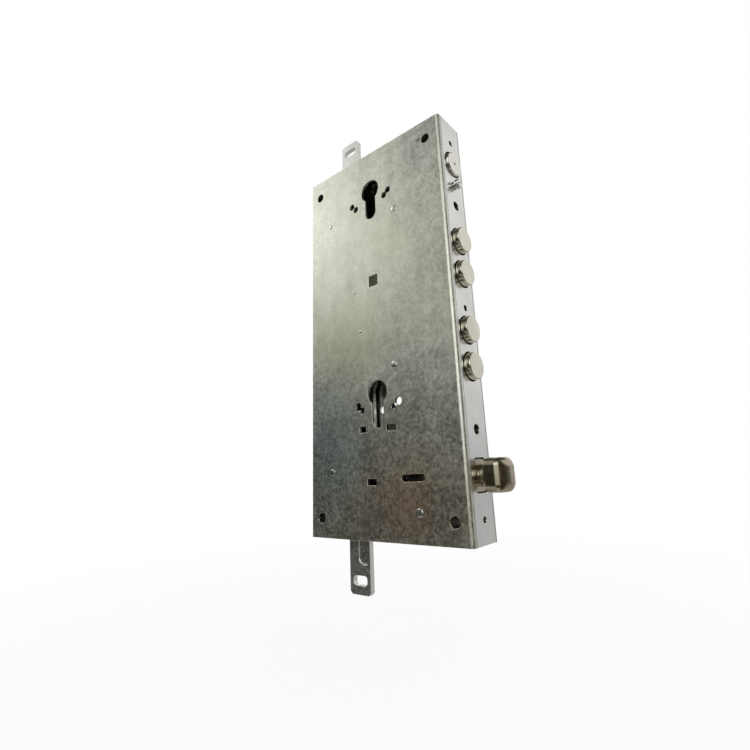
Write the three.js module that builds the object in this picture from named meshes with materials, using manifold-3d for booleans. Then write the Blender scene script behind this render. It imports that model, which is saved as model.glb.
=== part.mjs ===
// Armoured-door mortise lock with two euro-cylinder seats, four round deadbolts, a service bolt,
// a sprung latch and two vertical rods, as an assembly of separate pieces.
//
// Millimetres, +Z up. The origin is on the faceplate's outer face, in the middle of the case's
// thickness, level with the middle of the four-deadbolt group. +X points out of the faceplate
// towards the door frame, -Y is the cover side and +Y is the back plate side.
// Every piece is drawn at rest: deadbolts and service bolt withdrawn, latch out, handle up.

import * as THREE from "three";
import { mergeVertices } from "three/addons/utils/BufferGeometryUtils.js";
import Module from "manifold-3d";

const wasm = await Module();
wasm.setup();

// ---------------------------------------------------------------- driving dimensions

const CASE_DEPTH = 134.5; // faceplate to rear wall
const CASE_TOP = 142.5;
const CASE_FOOT = -151.5;
const HALF_THICK = 15; // outer faces of cover and back plate
const SHEET = 2; // case sheet thickness
const INNER = HALF_THICK - SHEET; // inner faces of cover and back plate
const LIP_DEPTH = 3; // how far each front bend reaches towards the middle
const BEND_RADIUS = 3;

const FACE_THICK = 3; // faceplate
const FACE_HALF_WIDTH = 11.8;
const FACE_SCREW_HEIGHTS = [125, -4.5, -137.5]; // top and bottom ones go into tabs of the back shell
const FACE_SCREW_RADIUS = 2;
const FACE_FIXING_HEIGHTS = [72.5, -84.5]; // holes for screws into the door's edge
const FACE_FIXING_RADIUS = 3.2;

const BACKSET = 67.5; // faceplate to cylinder and handle axes
const UPPER_CYLINDER_Z = 108.5;
const HANDLE_Z = 31.5;
const LOWER_CYLINDER_Z = HANDLE_Z - 85; // standard handle-to-cylinder distance
const CYLINDER_RADIUS = 8.7;
const CYLINDER_TONGUE_HALF = 5.2;
const CYLINDER_DROP = 19.5; // from the round seat's centre to the tongue's lower arc
const CAM_CLEARANCE_RADIUS = 16; // swept by a euro cylinder's cam
const CYLINDER_SCREW_Z = UPPER_CYLINDER_Z - CYLINDER_DROP;
const CYLINDER_SCREW_RADIUS = 2.4;

const BOLT_RADIUS = 9;
const BOLT_OUT = 4.6; // how far a withdrawn deadbolt stands proud
const BOLT_REAR = -47;
const BOLT_HEIGHTS = [44.5, 20, -20, -44.5];
const BOLT_FACE_HOLE = 9.8;
const GUIDE_HOLE = BOLT_RADIUS + 0.1;
const BOLT_RIVET_X = -38;
const RIVET_RADIUS = 2;
const RIVET_CLEAR = RIVET_RADIUS + 0.1;

// The carriage plate: an upright strip behind the bolts with a tongue into each bolt.
const STRIP = [-57, -46];
const TONGUE_FRONT = -29;
const TONGUE_HALF = 5.5;
const CARRIAGE_REAR = -89.5;
const PRONG_WIDTH = 4;
const PRONG_DROP = 5;

const SERVICE_Z = 106.5;
const SERVICE_OUT = 2;
const SERVICE_REAR = -38;
const SERVICE_RIVET_X = -32.5;
const SERVICE_PLATE_TOP = 130;

const LATCH_Z = -112;
const LATCH_NOSE_FLAT = 1.5; // width of the nose's flat end, between the ramp and the far corner
const LATCH_HEAD_BACK = 6.5;
const LATCH_HEAD_HALF = [8.4, 10]; // half width and half height
const LATCH_HEAD_CORNER = 4.6;
const LATCH_RAMP_START = 12.4;
// The ramp's curve: how far the surface has turned, in degrees, and the radius up to there.
const LATCH_RAMP_ARCS = [[12, 4], [42, 5.5], [58, 23], [90, 4]];
const LATCH_FLANGE = [-1.7, -0.5]; // the collar that fills the faceplate's hole while the latch is out
const LATCH_HOLE_GAP = 0.4; // between the latch's head and the faceplate's hole
const LATCH_WAIST_RADIUS = 6.75;
const LATCH_REAR = -21.2;
const LATCH_STROKE = 16;
const TAIL_REAR = -52;
const TAIL_FRONT = -12;
const TAIL_RIVET_X = -16;
const TAIL_RIVET_RADIUS = 1.5;
const SPRING_BRACKET = [-87, -84.5];
const SPRING_ROD_RADIUS = 1.9;

const PLATE_HALF = 2; // carriage, rods, service plate and latch tail lie in this middle layer
const GUIDE_FRONT = -18; // inner guide plates behind the faceplate
const GUIDE_THICK = 3;

const PINION_X = -100;
const PINION_MODULE = 1.25;
const PINION_TEETH = 16;
const PITCH_RADIUS = (PINION_MODULE * PINION_TEETH) / 2;
const PRESSURE_ANGLE = (20 * Math.PI) / 180;
const BACKLASH = 0.15; // on each flank
const AXLE_RADIUS = 4;
const AXLE_NECK_RADIUS = 3.2;
const AXLE_END_RADIUS = 3;
const RACK_TIP = 1.1; // rack addendum
const RACK_ROOT = 1.6;

const ROD_X = PINION_X;
const ROD_HALF_WIDTH = 9.5;
const ROD_HOLE = [13, 6.6];
const ROD_HOLE_INSET = 9;
const RACK_RIVETS = [
  [-73, -19],
  [-63, -19],
];
const TOP_ROD_END = CASE_TOP + 35;
const BOTTOM_ROD_END = CASE_FOOT - 37.4;

const JOURNAL_RADIUS = 8;
const HUB_RADIUS = 10;
const SPINDLE_SQUARE = 8.5;
const HANDLE_TURN = (45 * Math.PI) / 180;
const ARM_RADIUS = 13; // hub axis to the arm's round tip
const ARM_TIP_RADIUS = 3;
const LINK_STROKE = 2 * ARM_RADIUS * Math.sin(HANDLE_TURN / 2);
const LINK_TOP = HANDLE_Z + LINK_STROKE / 2 - ARM_TIP_RADIUS - 0.3;
const LINK_LAYER = [7.5, 10.5];
const CRANK_LAYER = [3.5, 6.5];
const CRANK_X = -36.5;
const CRANK_Z = -133;
const CRANK_RISE = LATCH_Z - CRANK_Z; // height of the latch pin over the crank's pivot
const CRANK_HALF_TURN = Math.atan(LATCH_STROKE / 2 / CRANK_RISE);
const CRANK_REACH = LINK_STROKE / 2 / Math.tan(CRANK_HALF_TURN);
const LATCH_PIN_X = CRANK_X + LATCH_STROKE / 2;
const LATCH_PIN_RADIUS = 1.8;
const LINK_PIN_RADIUS = 2;
const LINK_PIN_X = CRANK_X - CRANK_REACH;
const LINK_PIN_Z = CRANK_Z + LINK_STROKE / 2;
const LINK_GUIDE_X = -81.5;
const LINK_GUIDE_Z = -5.5;
const PEG_X = -96.5;
const PEG_Z = -82;
const PEG_END_RADIUS = 1.5;
const WINDOW_TOP = -52; // the link's window that holds its return spring

// Small rectangular windows pressed out of the cover: [x, z]. The slot shows the latch's pin.
const COVER_WINDOWS = [
  [-81.2, LOWER_CYLINDER_Z - 24.7],
  [-56.2, LOWER_CYLINDER_Z - 25.2],
  [-74.8, LATCH_Z - 2],
];
const LATCH_SLOT = [-47.2, -33.4];

const CORNER_HOLES = [
  ["upper_rear_tube", -124.5, 127],
  ["upper_front_tube", -12.5, 127.5],
  ["lower_rear_tube", -124.5, -138],
  ["lower_front_tube", -11.5, -137.7],
];
const CORNER_HOLE_RADIUS = 3.5;
const CORNER_TUBE_RADIUS = 5;

// Posts peened into the cover. A through post also holds the back plate; the others are rest studs
// that stop just short of the plate moving under them.
const POSTS = [
  { name: "upper_rod_guide_post", x: -111.8, z: 93.5, radius: 2, spigot: 1.6, through: true },
  { name: "lower_rod_guide_post", x: -113, z: -106.4, radius: 3, spigot: 2.3, through: true },
  { name: "upper_spacer_post", x: -44.8, z: 83, radius: 3, spigot: 2.5, through: true },
  { name: "link_guide_post", x: LINK_GUIDE_X, z: LINK_GUIDE_Z, radius: 1.6, spigot: 1.2, through: true },
  { name: "crank_pivot_post", x: CRANK_X, z: CRANK_Z, radius: 3, spigot: 2.6, through: true },
  { name: "rod_rest_stud", x: -86.4, z: 26.7, radius: 2, spigot: 1.2, through: false },
  { name: "carriage_rest_stud", x: -51.2, z: -36, radius: 4, spigot: 2.4, through: false },
];

// Pairs of joined screw holes beside each cylinder: [x, height from the cylinder's centre, radius].
const UPPER_SCREW_HOLES = [
  [-87, -6.8, 2.4],
  [-83, -10.6, 2.4],
  [-49.6, -7, 2.4],
  [-53.5, -10.1, 2.4],
];
const LOWER_SCREW_HOLES = [
  [-85.9, -8.1, 2.75],
  [-82.2, -11.1, 2.2],
  [-49, -8.1, 2.75],
  [-52.9, -11.1, 2.2],
];

const THROUGH = [-20, 20]; // cuts right through the lock
const FIT = 0.1; // running clearance on a radius

const FINE = 28; // facets round a bolt
const MEDIUM = 24;
const ROUND = 16;
const SMALL = 10;

// ---------------------------------------------------------------- materials

const zincSheet = new THREE.MeshStandardMaterial({ color: 0xb4b4a4, roughness: 0.42, metalness: 0.9 });
const faceSteel = new THREE.MeshStandardMaterial({ color: 0xc4c4c8, roughness: 0.38, metalness: 0.85 });
const nickel = new THREE.MeshStandardMaterial({ color: 0xb3ad98, roughness: 0.2, metalness: 1 });
const darkSteel = new THREE.MeshStandardMaterial({ color: 0x77766f, roughness: 0.45, metalness: 0.9 });
const rivetSteel = new THREE.MeshStandardMaterial({ color: 0xc9c9c2, roughness: 0.35, metalness: 0.9 });
const springSteel = new THREE.MeshStandardMaterial({ color: 0x8d8d8a, roughness: 0.3, metalness: 1 });
const followerSteel = new THREE.MeshStandardMaterial({ color: 0xa9a898, roughness: 0.45, metalness: 0.9 });

// ---------------------------------------------------------------- solids

// A closed three.js geometry as a solid that can be joined and cut.
function solid(geometry) {
  const bare = geometry.clone();
  bare.deleteAttribute("normal");
  bare.deleteAttribute("uv");
  const merged = mergeVertices(bare, 1e-4);
  return new wasm.Manifold(
    new wasm.Mesh({
      numProp: 3,
      vertProperties: new Float32Array(merged.attributes.position.array),
      triVerts: new Uint32Array(merged.index.array),
    }),
  );
}

function block(x, y, z) {
  const geometry = new THREE.BoxGeometry(x[1] - x[0], y[1] - y[0], z[1] - z[0]);
  geometry.translate((x[0] + x[1]) / 2, (y[0] + y[1]) / 2, (z[0] + z[1]) / 2);
  return solid(geometry);
}

// A round bar along Y, from y[0] to y[1].
function barY(x, z, radius, y, facets = SMALL) {
  const geometry = new THREE.CylinderGeometry(radius, radius, y[1] - y[0], facets);
  geometry.translate(x, (y[0] + y[1]) / 2, z);
  return solid(geometry);
}

// A round bar along X, from x[0] to x[1].
function barX(y, z, radius, x, facets = SMALL) {
  const geometry = new THREE.CylinderGeometry(radius, radius, x[1] - x[0], facets);
  geometry.rotateZ(-Math.PI / 2);
  geometry.translate((x[0] + x[1]) / 2, y, z);
  return solid(geometry);
}

// A turned piece about the X axis. The profile lists [x, radius] and starts and ends at radius 0.
function turnedX(profile, facets = FINE) {
  const points = profile.map(([x, radius]) => new THREE.Vector2(radius, x));
  const geometry = new THREE.LatheGeometry(points, facets);
  geometry.rotateZ(-Math.PI / 2);
  return solid(geometry);
}

// A shape pulled straight up along +Z.
function extrusion(shape, depth, curveSegments) {
  return new THREE.ExtrudeGeometry(shape, { depth, bevelEnabled: false, curveSegments });
}

// A flat plate in the XZ plane with its outline given as [x, z] points, from y[0] to y[1].
function plateY(outline, y) {
  const shape = new THREE.Shape(outline.map(([x, z]) => new THREE.Vector2(x, z)));
  return shapeY(shape, y);
}

function shapeY(shape, y, curveSegments = 8) {
  const geometry = extrusion(shape, y[1] - y[0], curveSegments);
  geometry.rotateX(Math.PI / 2);
  geometry.translate(0, y[1], 0);
  return solid(geometry);
}

// A slot with round ends between two points of the XZ plane.
function slotY(a, b, radius, y, facets = 5) {
  const angle = Math.atan2(b[1] - a[1], b[0] - a[0]);
  const shape = new THREE.Shape();
  shape.absarc(b[0], b[1], radius, angle - Math.PI / 2, angle + Math.PI / 2, false);
  shape.absarc(a[0], a[1], radius, angle + Math.PI / 2, angle + (3 * Math.PI) / 2, false);
  return shapeY(shape, y, facets);
}

function roundedRect(u, v, width, height, radius) {
  const shape = new THREE.Shape();
  const right = u + width / 2 - radius;
  const left = u - width / 2 + radius;
  const top = v + height / 2 - radius;
  const foot = v - height / 2 + radius;
  shape.absarc(right, top, radius, 0, Math.PI / 2, false);
  shape.absarc(left, top, radius, Math.PI / 2, Math.PI, false);
  shape.absarc(left, foot, radius, Math.PI, (3 * Math.PI) / 2, false);
  shape.absarc(right, foot, radius, (3 * Math.PI) / 2, 2 * Math.PI, false);
  return shape;
}

function roundedRectY(x, z, width, height, radius, y) {
  return shapeY(roundedRect(x, z, width, height, radius), y, 4);
}

// A bar along X with a rounded rectangular section centred on the X axis at height z.
function roundedBarX(z, half, corner, x) {
  const shape = roundedRect(0, 0, 2 * half[0], 2 * half[1], corner);
  const geometry = extrusion(shape, x[1] - x[0], 5);
  geometry.rotateZ(Math.PI / 2);
  geometry.rotateY(Math.PI / 2);
  geometry.translate(x[0], 0, z);
  return solid(geometry);
}

// The latch head's half width and half height, grown by a margin on every side.
function growLatch(margin) {
  return LATCH_HEAD_HALF.map((half) => half + margin);
}

function cutAll(body, tools) {
  return tools.reduce((rest, tool) => rest.subtract(tool), body);
}

function joinAll(pieces) {
  return pieces.reduce((sum, piece) => sum.add(piece));
}

// The solid as a named mesh in its material.
function piece(name, made, material) {
  const data = made.getMesh();
  const geometry = new THREE.BufferGeometry();
  geometry.setAttribute("position", new THREE.BufferAttribute(data.vertProperties, 3));
  geometry.setIndex(new THREE.BufferAttribute(data.triVerts, 1));
  geometry.computeVertexNormals();
  const mesh = new THREE.Mesh(geometry, material);
  mesh.name = name;
  return mesh;
}

// ---------------------------------------------------------------- case

// The euro-profile hole: round seat above, narrower tongue with a round foot below.
function euroHole(z, y) {
  const tongue = slotY([-BACKSET, z], [-BACKSET, z - CYLINDER_DROP], CYLINDER_TONGUE_HALF, y, 8);
  return barY(-BACKSET, z, CYLINDER_RADIUS, y, FINE).add(tongue);
}

function screwHolePairs(pairs, z, y) {
  return pairs.map(([x, dz, radius]) => barY(x, z + dz, radius, y));
}

// Holes that go right through the lock, in both the cover and the back plate.
function throughHoles(y) {
  return [
    euroHole(UPPER_CYLINDER_Z, y),
    euroHole(LOWER_CYLINDER_Z, y),
    barY(-BACKSET, HANDLE_Z, JOURNAL_RADIUS + FIT, y, MEDIUM),
    ...screwHolePairs(UPPER_SCREW_HOLES, UPPER_CYLINDER_Z, y),
    ...screwHolePairs(LOWER_SCREW_HOLES, LOWER_CYLINDER_Z, y),
    ...CORNER_HOLES.map(([, x, z]) => barY(x, z, CORNER_HOLE_RADIUS, y, ROUND)),
  ];
}

// A front bend of the case: sheet turned through a quarter circle towards the middle.
function frontBend(side) {
  const shape = new THREE.Shape();
  const edge = side * HALF_THICK;
  const centre = edge - side * BEND_RADIUS;
  const turn = side < 0;
  shape.moveTo(-BEND_RADIUS, edge);
  shape.absarc(-BEND_RADIUS, centre, BEND_RADIUS, (side * Math.PI) / 2, 0, !turn);
  shape.lineTo(0, edge - side * LIP_DEPTH);
  shape.lineTo(-SHEET, edge - side * LIP_DEPTH);
  shape.lineTo(-BEND_RADIUS, edge - side * SHEET);
  const geometry = extrusion(shape, CASE_TOP - CASE_FOOT, 5);
  geometry.translate(0, 0, CASE_FOOT);
  return solid(geometry);
}

function caseSheet(side, backEdge, low, high) {
  const y = side < 0 ? [-HALF_THICK, -INNER] : [INNER, HALF_THICK];
  return block([backEdge, -BEND_RADIUS], y, [low, high]).add(frontBend(side));
}

function coverPlate() {
  const y = [-HALF_THICK - 1, -INNER + 1];
  const sheet = caseSheet(-1, -CASE_DEPTH, CASE_FOOT, CASE_TOP);
  return cutAll(sheet, [
    ...throughHoles(y),
    ...COVER_WINDOWS.map(([x, z]) => roundedRectY(x, z, 8, 4.3, 0.6, y)),
    slotY([LATCH_SLOT[0], LATCH_Z], [LATCH_SLOT[1], LATCH_Z], 2.3, y),
    ...POSTS.map((post) => barY(post.x, post.z, post.spigot + FIT, y)),
  ]);
}

function backShell() {
  const y = [INNER - 1, HALF_THICK + 1];
  const walls = [-INNER, HALF_THICK];
  const rear = -CASE_DEPTH;
  const inside = -FACE_THICK;
  const tab = [inside - 3, inside];
  const tabHalf = 8;
  const tabReach = 22.5;
  const shell = joinAll([
    caseSheet(1, rear, CASE_FOOT, CASE_TOP),
    block([rear, rear + SHEET], walls, [CASE_FOOT, CASE_TOP]),
    block([rear, inside], walls, [CASE_TOP - SHEET, CASE_TOP]),
    block([rear, inside], walls, [CASE_FOOT, CASE_FOOT + SHEET]),
    block(tab, [-tabHalf, tabHalf], [CASE_TOP - SHEET - tabReach, CASE_TOP - SHEET]),
    block(tab, [-tabHalf, tabHalf], [CASE_FOOT + SHEET, CASE_FOOT + SHEET + tabReach]),
  ]);
  const slotHalf = ROD_HALF_WIDTH + 0.5;
  const rodSlot = [ROD_X - slotHalf, ROD_X + slotHalf];
  const rodGap = [-PLATE_HALF - 0.4, PLATE_HALF + 0.4];
  const tapped = 1.6;
  return cutAll(shell, [
    ...throughHoles(y),
    ...POSTS.filter((post) => post.through).map((post) => barY(post.x, post.z, post.spigot + FIT, y)),
    barY(PINION_X, 0, AXLE_END_RADIUS + FIT, y, ROUND),
    barY(PEG_X, PEG_Z, PEG_END_RADIUS + FIT, y),
    block(rodSlot, rodGap, [CASE_TOP - SHEET - 1, CASE_TOP + 1]),
    block(rodSlot, rodGap, [CASE_FOOT - 1, CASE_FOOT + SHEET + 1]),
    barX(0, FACE_SCREW_HEIGHTS[0], tapped, [-8, 1]),
    barX(0, FACE_SCREW_HEIGHTS[2], tapped, [-8, 1]),
  ]);
}

function faceplate() {
  const x = [-FACE_THICK - 1, 1];
  const plate = block([-FACE_THICK, 0], [-FACE_HALF_WIDTH, FACE_HALF_WIDTH], [CASE_FOOT, CASE_TOP]);
  return cutAll(plate, [
    ...BOLT_HEIGHTS.map((z) => barX(0, z, BOLT_FACE_HOLE, x, FINE)),
    barX(0, SERVICE_Z, BOLT_FACE_HOLE, x, FINE),
    roundedBarX(LATCH_Z, growLatch(LATCH_HOLE_GAP), LATCH_HEAD_CORNER + LATCH_HOLE_GAP, x),
    barX(0, CYLINDER_SCREW_Z, CYLINDER_SCREW_RADIUS + 0.5, x, ROUND),
    ...FACE_SCREW_HEIGHTS.map((z) => barX(0, z, FACE_SCREW_RADIUS, x)),
    ...FACE_FIXING_HEIGHTS.map((z) => barX(0, z, FACE_FIXING_RADIUS, x, ROUND)),
  ]);
}

function cornerTube(x, z) {
  const tube = barY(x, z, CORNER_TUBE_RADIUS, [-INNER, INNER], ROUND);
  return tube.subtract(barY(x, z, CORNER_HOLE_RADIUS, THROUGH, ROUND));
}

function casePost(post) {
  const end = post.through ? INNER : -PLATE_HALF - 0.3;
  const made = barY(post.x, post.z, post.radius, [-INNER, end], ROUND);
  const back = post.through ? HALF_THICK : end;
  return made.add(barY(post.x, post.z, post.spigot, [-HALF_THICK - 0.3, back]));
}

function pinionAxle() {
  return joinAll([
    barY(PINION_X, 0, AXLE_NECK_RADIUS, [-4, INNER], ROUND),
    barY(PINION_X, 0, AXLE_RADIUS, [-2.7, 8], ROUND),
    barY(PINION_X, 0, AXLE_RADIUS, [-5, -3.7], ROUND),
    barY(PINION_X, 0, AXLE_RADIUS + 3, [7, INNER], ROUND),
    barY(PINION_X, 0, AXLE_END_RADIUS, [8, HALF_THICK], ROUND),
  ]);
}

// The snap ring in the axle's groove: a ring with a mouth on its upper side.
function axleClip() {
  const mouth = 2.2;
  const disc = barY(PINION_X, 0, AXLE_RADIUS + 2, [-3.6, -2.8], ROUND);
  return cutAll(disc, [
    barY(PINION_X, 0, AXLE_NECK_RADIUS + 0.2, THROUGH, ROUND),
    block([PINION_X - mouth, PINION_X + mouth], THROUGH, [0, 8]),
  ]);
}

// An inner plate behind the faceplate with a round hole at each height, reaching past its end holes.
function guidePlate(holes, radius, reach) {
  const x = [GUIDE_FRONT - GUIDE_THICK, GUIDE_FRONT];
  const heights = [Math.min(...holes) - reach, Math.max(...holes) + reach];
  const plate = block(x, [-INNER, INNER], heights);
  return cutAll(plate, holes.map((z) => barX(0, z, radius, [x[0] - 1, x[1] + 1], FINE)));
}

function linkSpringPeg() {
  return barY(PEG_X, PEG_Z, 2, [6, INNER]).add(barY(PEG_X, PEG_Z, PEG_END_RADIUS, [8, HALF_THICK]));
}

// The lug on the cover that the latch spring pushes against. It stops short of the link's layer.
function latchSpringBracket() {
  const half = 7;
  const plate = block(SPRING_BRACKET, [-INNER, LINK_LAYER[0] - 1.5], [LATCH_Z - half, LATCH_Z + half]);
  const hole = [SPRING_BRACKET[0] - 1, SPRING_BRACKET[1] + 1];
  return plate.subtract(barX(0, LATCH_Z, SPRING_ROD_RADIUS + 0.6, hole));
}

// The long screw that holds the upper cylinder, with its slotted head proud of the faceplate.
function cylinderScrew() {
  const tip = -45;
  const neck = 1.7;
  const top = 5;
  const headRadius = 3.5;
  const facets = 20;
  const body = turnedX([
    [tip, 0],
    [tip, CYLINDER_SCREW_RADIUS - 0.5],
    [tip + 1, CYLINDER_SCREW_RADIUS],
    [neck, CYLINDER_SCREW_RADIUS],
    [neck, headRadius],
    [top - 0.4, headRadius],
    [top, headRadius - 0.4],
    [top, 0],
  ], facets);
  const driver = block([top - 1.4, top + 1], [-0.5, 0.5], [-5, 5]);
  return body.subtract(driver).translate(0, 0, CYLINDER_SCREW_Z);
}

function buildCase() {
  const group = new THREE.Group();
  group.add(piece("back_shell", backShell(), zincSheet));
  group.add(piece("cover_plate", coverPlate(), zincSheet));
  group.add(piece("faceplate", faceplate(), faceSteel));
  for (const [name, x, z] of CORNER_HOLES) group.add(piece(name, cornerTube(x, z), darkSteel));
  for (const post of POSTS) group.add(piece(post.name, casePost(post), rivetSteel));
  group.add(piece("pinion_axle", pinionAxle(), darkSteel));
  group.add(piece("axle_clip", axleClip(), springSteel));
  const latchGuide = guidePlate([LATCH_Z], LATCH_WAIST_RADIUS + FIT, 13);
  group.add(piece("deadbolt_guide", guidePlate(BOLT_HEIGHTS, GUIDE_HOLE, 12.5), darkSteel));
  group.add(piece("service_bolt_guide", guidePlate([SERVICE_Z], GUIDE_HOLE, 12), darkSteel));
  group.add(piece("latch_guide", latchGuide, darkSteel));
  group.add(piece("link_spring_peg", linkSpringPeg(), rivetSteel));
  group.add(piece("latch_spring_bracket", latchSpringBracket(), darkSteel));
  group.add(piece("cylinder_fixing_screw", cylinderScrew(), rivetSteel));
  return group;
}

// ---------------------------------------------------------------- bolts

// A round bolt along X with a chamfered nose, a slot for its driving plate and a cross hole.
function roundBolt(rear, nose, slotFront, rivetX) {
  const chamfer = 0.8;
  const bar = turnedX([
    [rear, 0],
    [rear, BOLT_RADIUS - 0.5],
    [rear + 0.5, BOLT_RADIUS],
    [nose - chamfer, BOLT_RADIUS],
    [nose, BOLT_RADIUS - chamfer],
    [nose, 0],
  ]);
  const slot = block([rear - 1, slotFront], [-PLATE_HALF - 0.2, PLATE_HALF + 0.2], [-12, 12]);
  return cutAll(bar, [slot, barY(rivetX, 0, RIVET_CLEAR, THROUGH)]);
}

function boltRivet(x) {
  return barY(x, 0, RIVET_RADIUS, [-7.5, 7.5]);
}

function deadbolt() {
  return roundBolt(BOLT_REAR, BOLT_OUT, TONGUE_FRONT + 0.4, BOLT_RIVET_X);
}

// A prong that reaches down from a driving plate's arm into the path of a cylinder's cam.
function prong(x, armLow) {
  return block([x, x + PRONG_WIDTH], [-PLATE_HALF, PLATE_HALF], [armLow - PRONG_DROP, armLow + 2]);
}

// The plate that carries the four deadbolts. Its rear arm hangs prongs into the path of the lower
// cylinder's cam.
function carriagePlate() {
  const y = [-PLATE_HALF, PLATE_HALF];
  const armLow = LOWER_CYLINDER_Z + CAM_CLEARANCE_RADIUS - 1;
  const tongues = BOLT_HEIGHTS.map((z) => {
    return block([STRIP[1] - 1, TONGUE_FRONT], y, [z - TONGUE_HALF, z + TONGUE_HALF]);
  });
  const blank = joinAll([
    block(STRIP, y, [-52, 52]),
    block([-80, STRIP[0] + 1], y, [armLow, -12]),
    block([CARRIAGE_REAR, -79], y, [armLow, armLow + 7]),
    ...tongues,
  ]);
  const cut = cutAll(blank, [
    barY(-BACKSET, LOWER_CYLINDER_Z, CAM_CLEARANCE_RADIUS, THROUGH, FINE),
    ...BOLT_HEIGHTS.map((z) => barY(BOLT_RIVET_X, z, RIVET_CLEAR, THROUGH)),
    ...RACK_RIVETS.map(([x, z]) => barY(x, z, RIVET_CLEAR, THROUGH)),
  ]);
  const prongs = [CARRIAGE_REAR, CARRIAGE_REAR + 12, CARRIAGE_REAR + 24];
  return joinAll([cut, ...prongs.map((x) => prong(x, armLow))]);
}

// ---------------------------------------------------------------- rack and pinion

// One flank point of the pinion's involute tooth: angle from the tooth's centre line at a radius.
function toothHalfAngle(radius) {
  const base = PITCH_RADIUS * Math.cos(PRESSURE_ANGLE);
  const involute = (angle) => Math.tan(angle) - angle;
  const halfAtPitch = Math.PI / 2 / PINION_TEETH - BACKLASH / PITCH_RADIUS;
  const here = Math.acos(Math.min(1, base / radius));
  return halfAtPitch + involute(PRESSURE_ANGLE) - involute(here);
}

function rodPinion() {
  const base = PITCH_RADIUS * Math.cos(PRESSURE_ANGLE);
  const root = PITCH_RADIUS - RACK_ROOT;
  const tip = PITCH_RADIUS + RACK_TIP;
  const radii = [root, base, (base + PITCH_RADIUS) / 2 + 0.2, (PITCH_RADIUS + tip) / 2, tip];
  const outline = [];
  for (let tooth = 0; tooth < PINION_TEETH; tooth += 1) {
    const centre = (tooth * 2 * Math.PI) / PINION_TEETH;
    const rising = radii.map((r) => [r, centre - toothHalfAngle(Math.max(r, base))]);
    const falling = radii.map((r) => [r, centre + toothHalfAngle(Math.max(r, base))]).reverse();
    for (const [r, angle] of [...rising, ...falling]) {
      outline.push([PINION_X + r * Math.cos(angle), r * Math.sin(angle)]);
    }
  }
  const teeth = plateY(outline, [-PLATE_HALF - 0.5, PLATE_HALF + 4.5]);
  return teeth.subtract(barY(PINION_X, 0, AXLE_RADIUS + FIT, THROUGH, ROUND));
}

// A toothed edge along +X at height 0 with a gap centred on x = 0, teeth pointing to +Z.
// Returns its outline between the teeth's roots, left to right.
function rackEdge(firstTooth, lastTooth) {
  const pitch = Math.PI * PINION_MODULE;
  const slope = Math.tan(PRESSURE_ANGLE);
  const half = pitch / 4 - BACKLASH;
  const points = [];
  for (let tooth = firstTooth; tooth <= lastTooth; tooth += 1) {
    const x = (tooth + 0.5) * pitch;
    points.push([x - half - RACK_ROOT * slope, -RACK_ROOT]);
    points.push([x - half + RACK_TIP * slope, RACK_TIP]);
    points.push([x + half - RACK_TIP * slope, RACK_TIP]);
    points.push([x + half + RACK_ROOT * slope, -RACK_ROOT]);
  }
  return points;
}

// The bar riveted behind the carriage plate that turns the pinion.
function driveRack() {
  const pitchLine = -PITCH_RADIUS;
  const teeth = rackEdge(-8, 1).map(([x, z]) => [PINION_X + x, pitchLine + z]);
  const top = pitchLine - RACK_ROOT;
  const foot = top - 12.4;
  const ends = [-131, -60];
  const outline = [[ends[1], top], [ends[1], foot], [ends[0], foot], [ends[0], top], ...teeth];
  const y = [PLATE_HALF, PLATE_HALF + 4];
  return cutAll(plateY(outline, y), RACK_RIVETS.map(([x, z]) => barY(x, z, RIVET_CLEAR, THROUGH)));
}

function rackRivet(x, z) {
  return joinAll([
    barY(x, z, RIVET_RADIUS, [-PLATE_HALF - 0.6, PLATE_HALF + 4]),
    barY(x, z, 3.2, [-PLATE_HALF - 1.2, -PLATE_HALF]),
  ]);
}

// The toothed bar and the strap of a rod. It is drawn for the top rod; the bottom rod is the same
// blank turned half round the pinion's axis, with its own length.
function rodBlank(end) {
  const y = [-PLATE_HALF, PLATE_HALF];
  const rootX = PITCH_RADIUS + RACK_ROOT;
  const barOuter = PITCH_RADIUS + 6;
  const teeth = rackEdge(-8, 1).map(([along, out]) => [PITCH_RADIUS - out, along]);
  const barFoot = -31;
  const shoulder = 60;
  const outline = [
    [rootX, barFoot],
    [barOuter, barFoot],
    [barOuter, shoulder],
    [ROD_HALF_WIDTH, shoulder + 6],
    [ROD_HALF_WIDTH, end - 2],
    [ROD_HALF_WIDTH - 2, end],
    [-ROD_HALF_WIDTH + 2, end],
    [-ROD_HALF_WIDTH, end - 2],
    [-ROD_HALF_WIDTH, shoulder + 6],
    [-5, shoulder],
    [-5, 14],
    [rootX, 14],
    ...teeth.reverse(),
  ];
  const hole = roundedRectY(0, end - ROD_HOLE_INSET, ROD_HOLE[0], ROD_HOLE[1], 2.4, THROUGH);
  return plateY(outline, y).subtract(hole);
}

function topRod() {
  return rodBlank(TOP_ROD_END);
}

function bottomRod() {
  return rodBlank(-BOTTOM_ROD_END);
}

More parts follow.
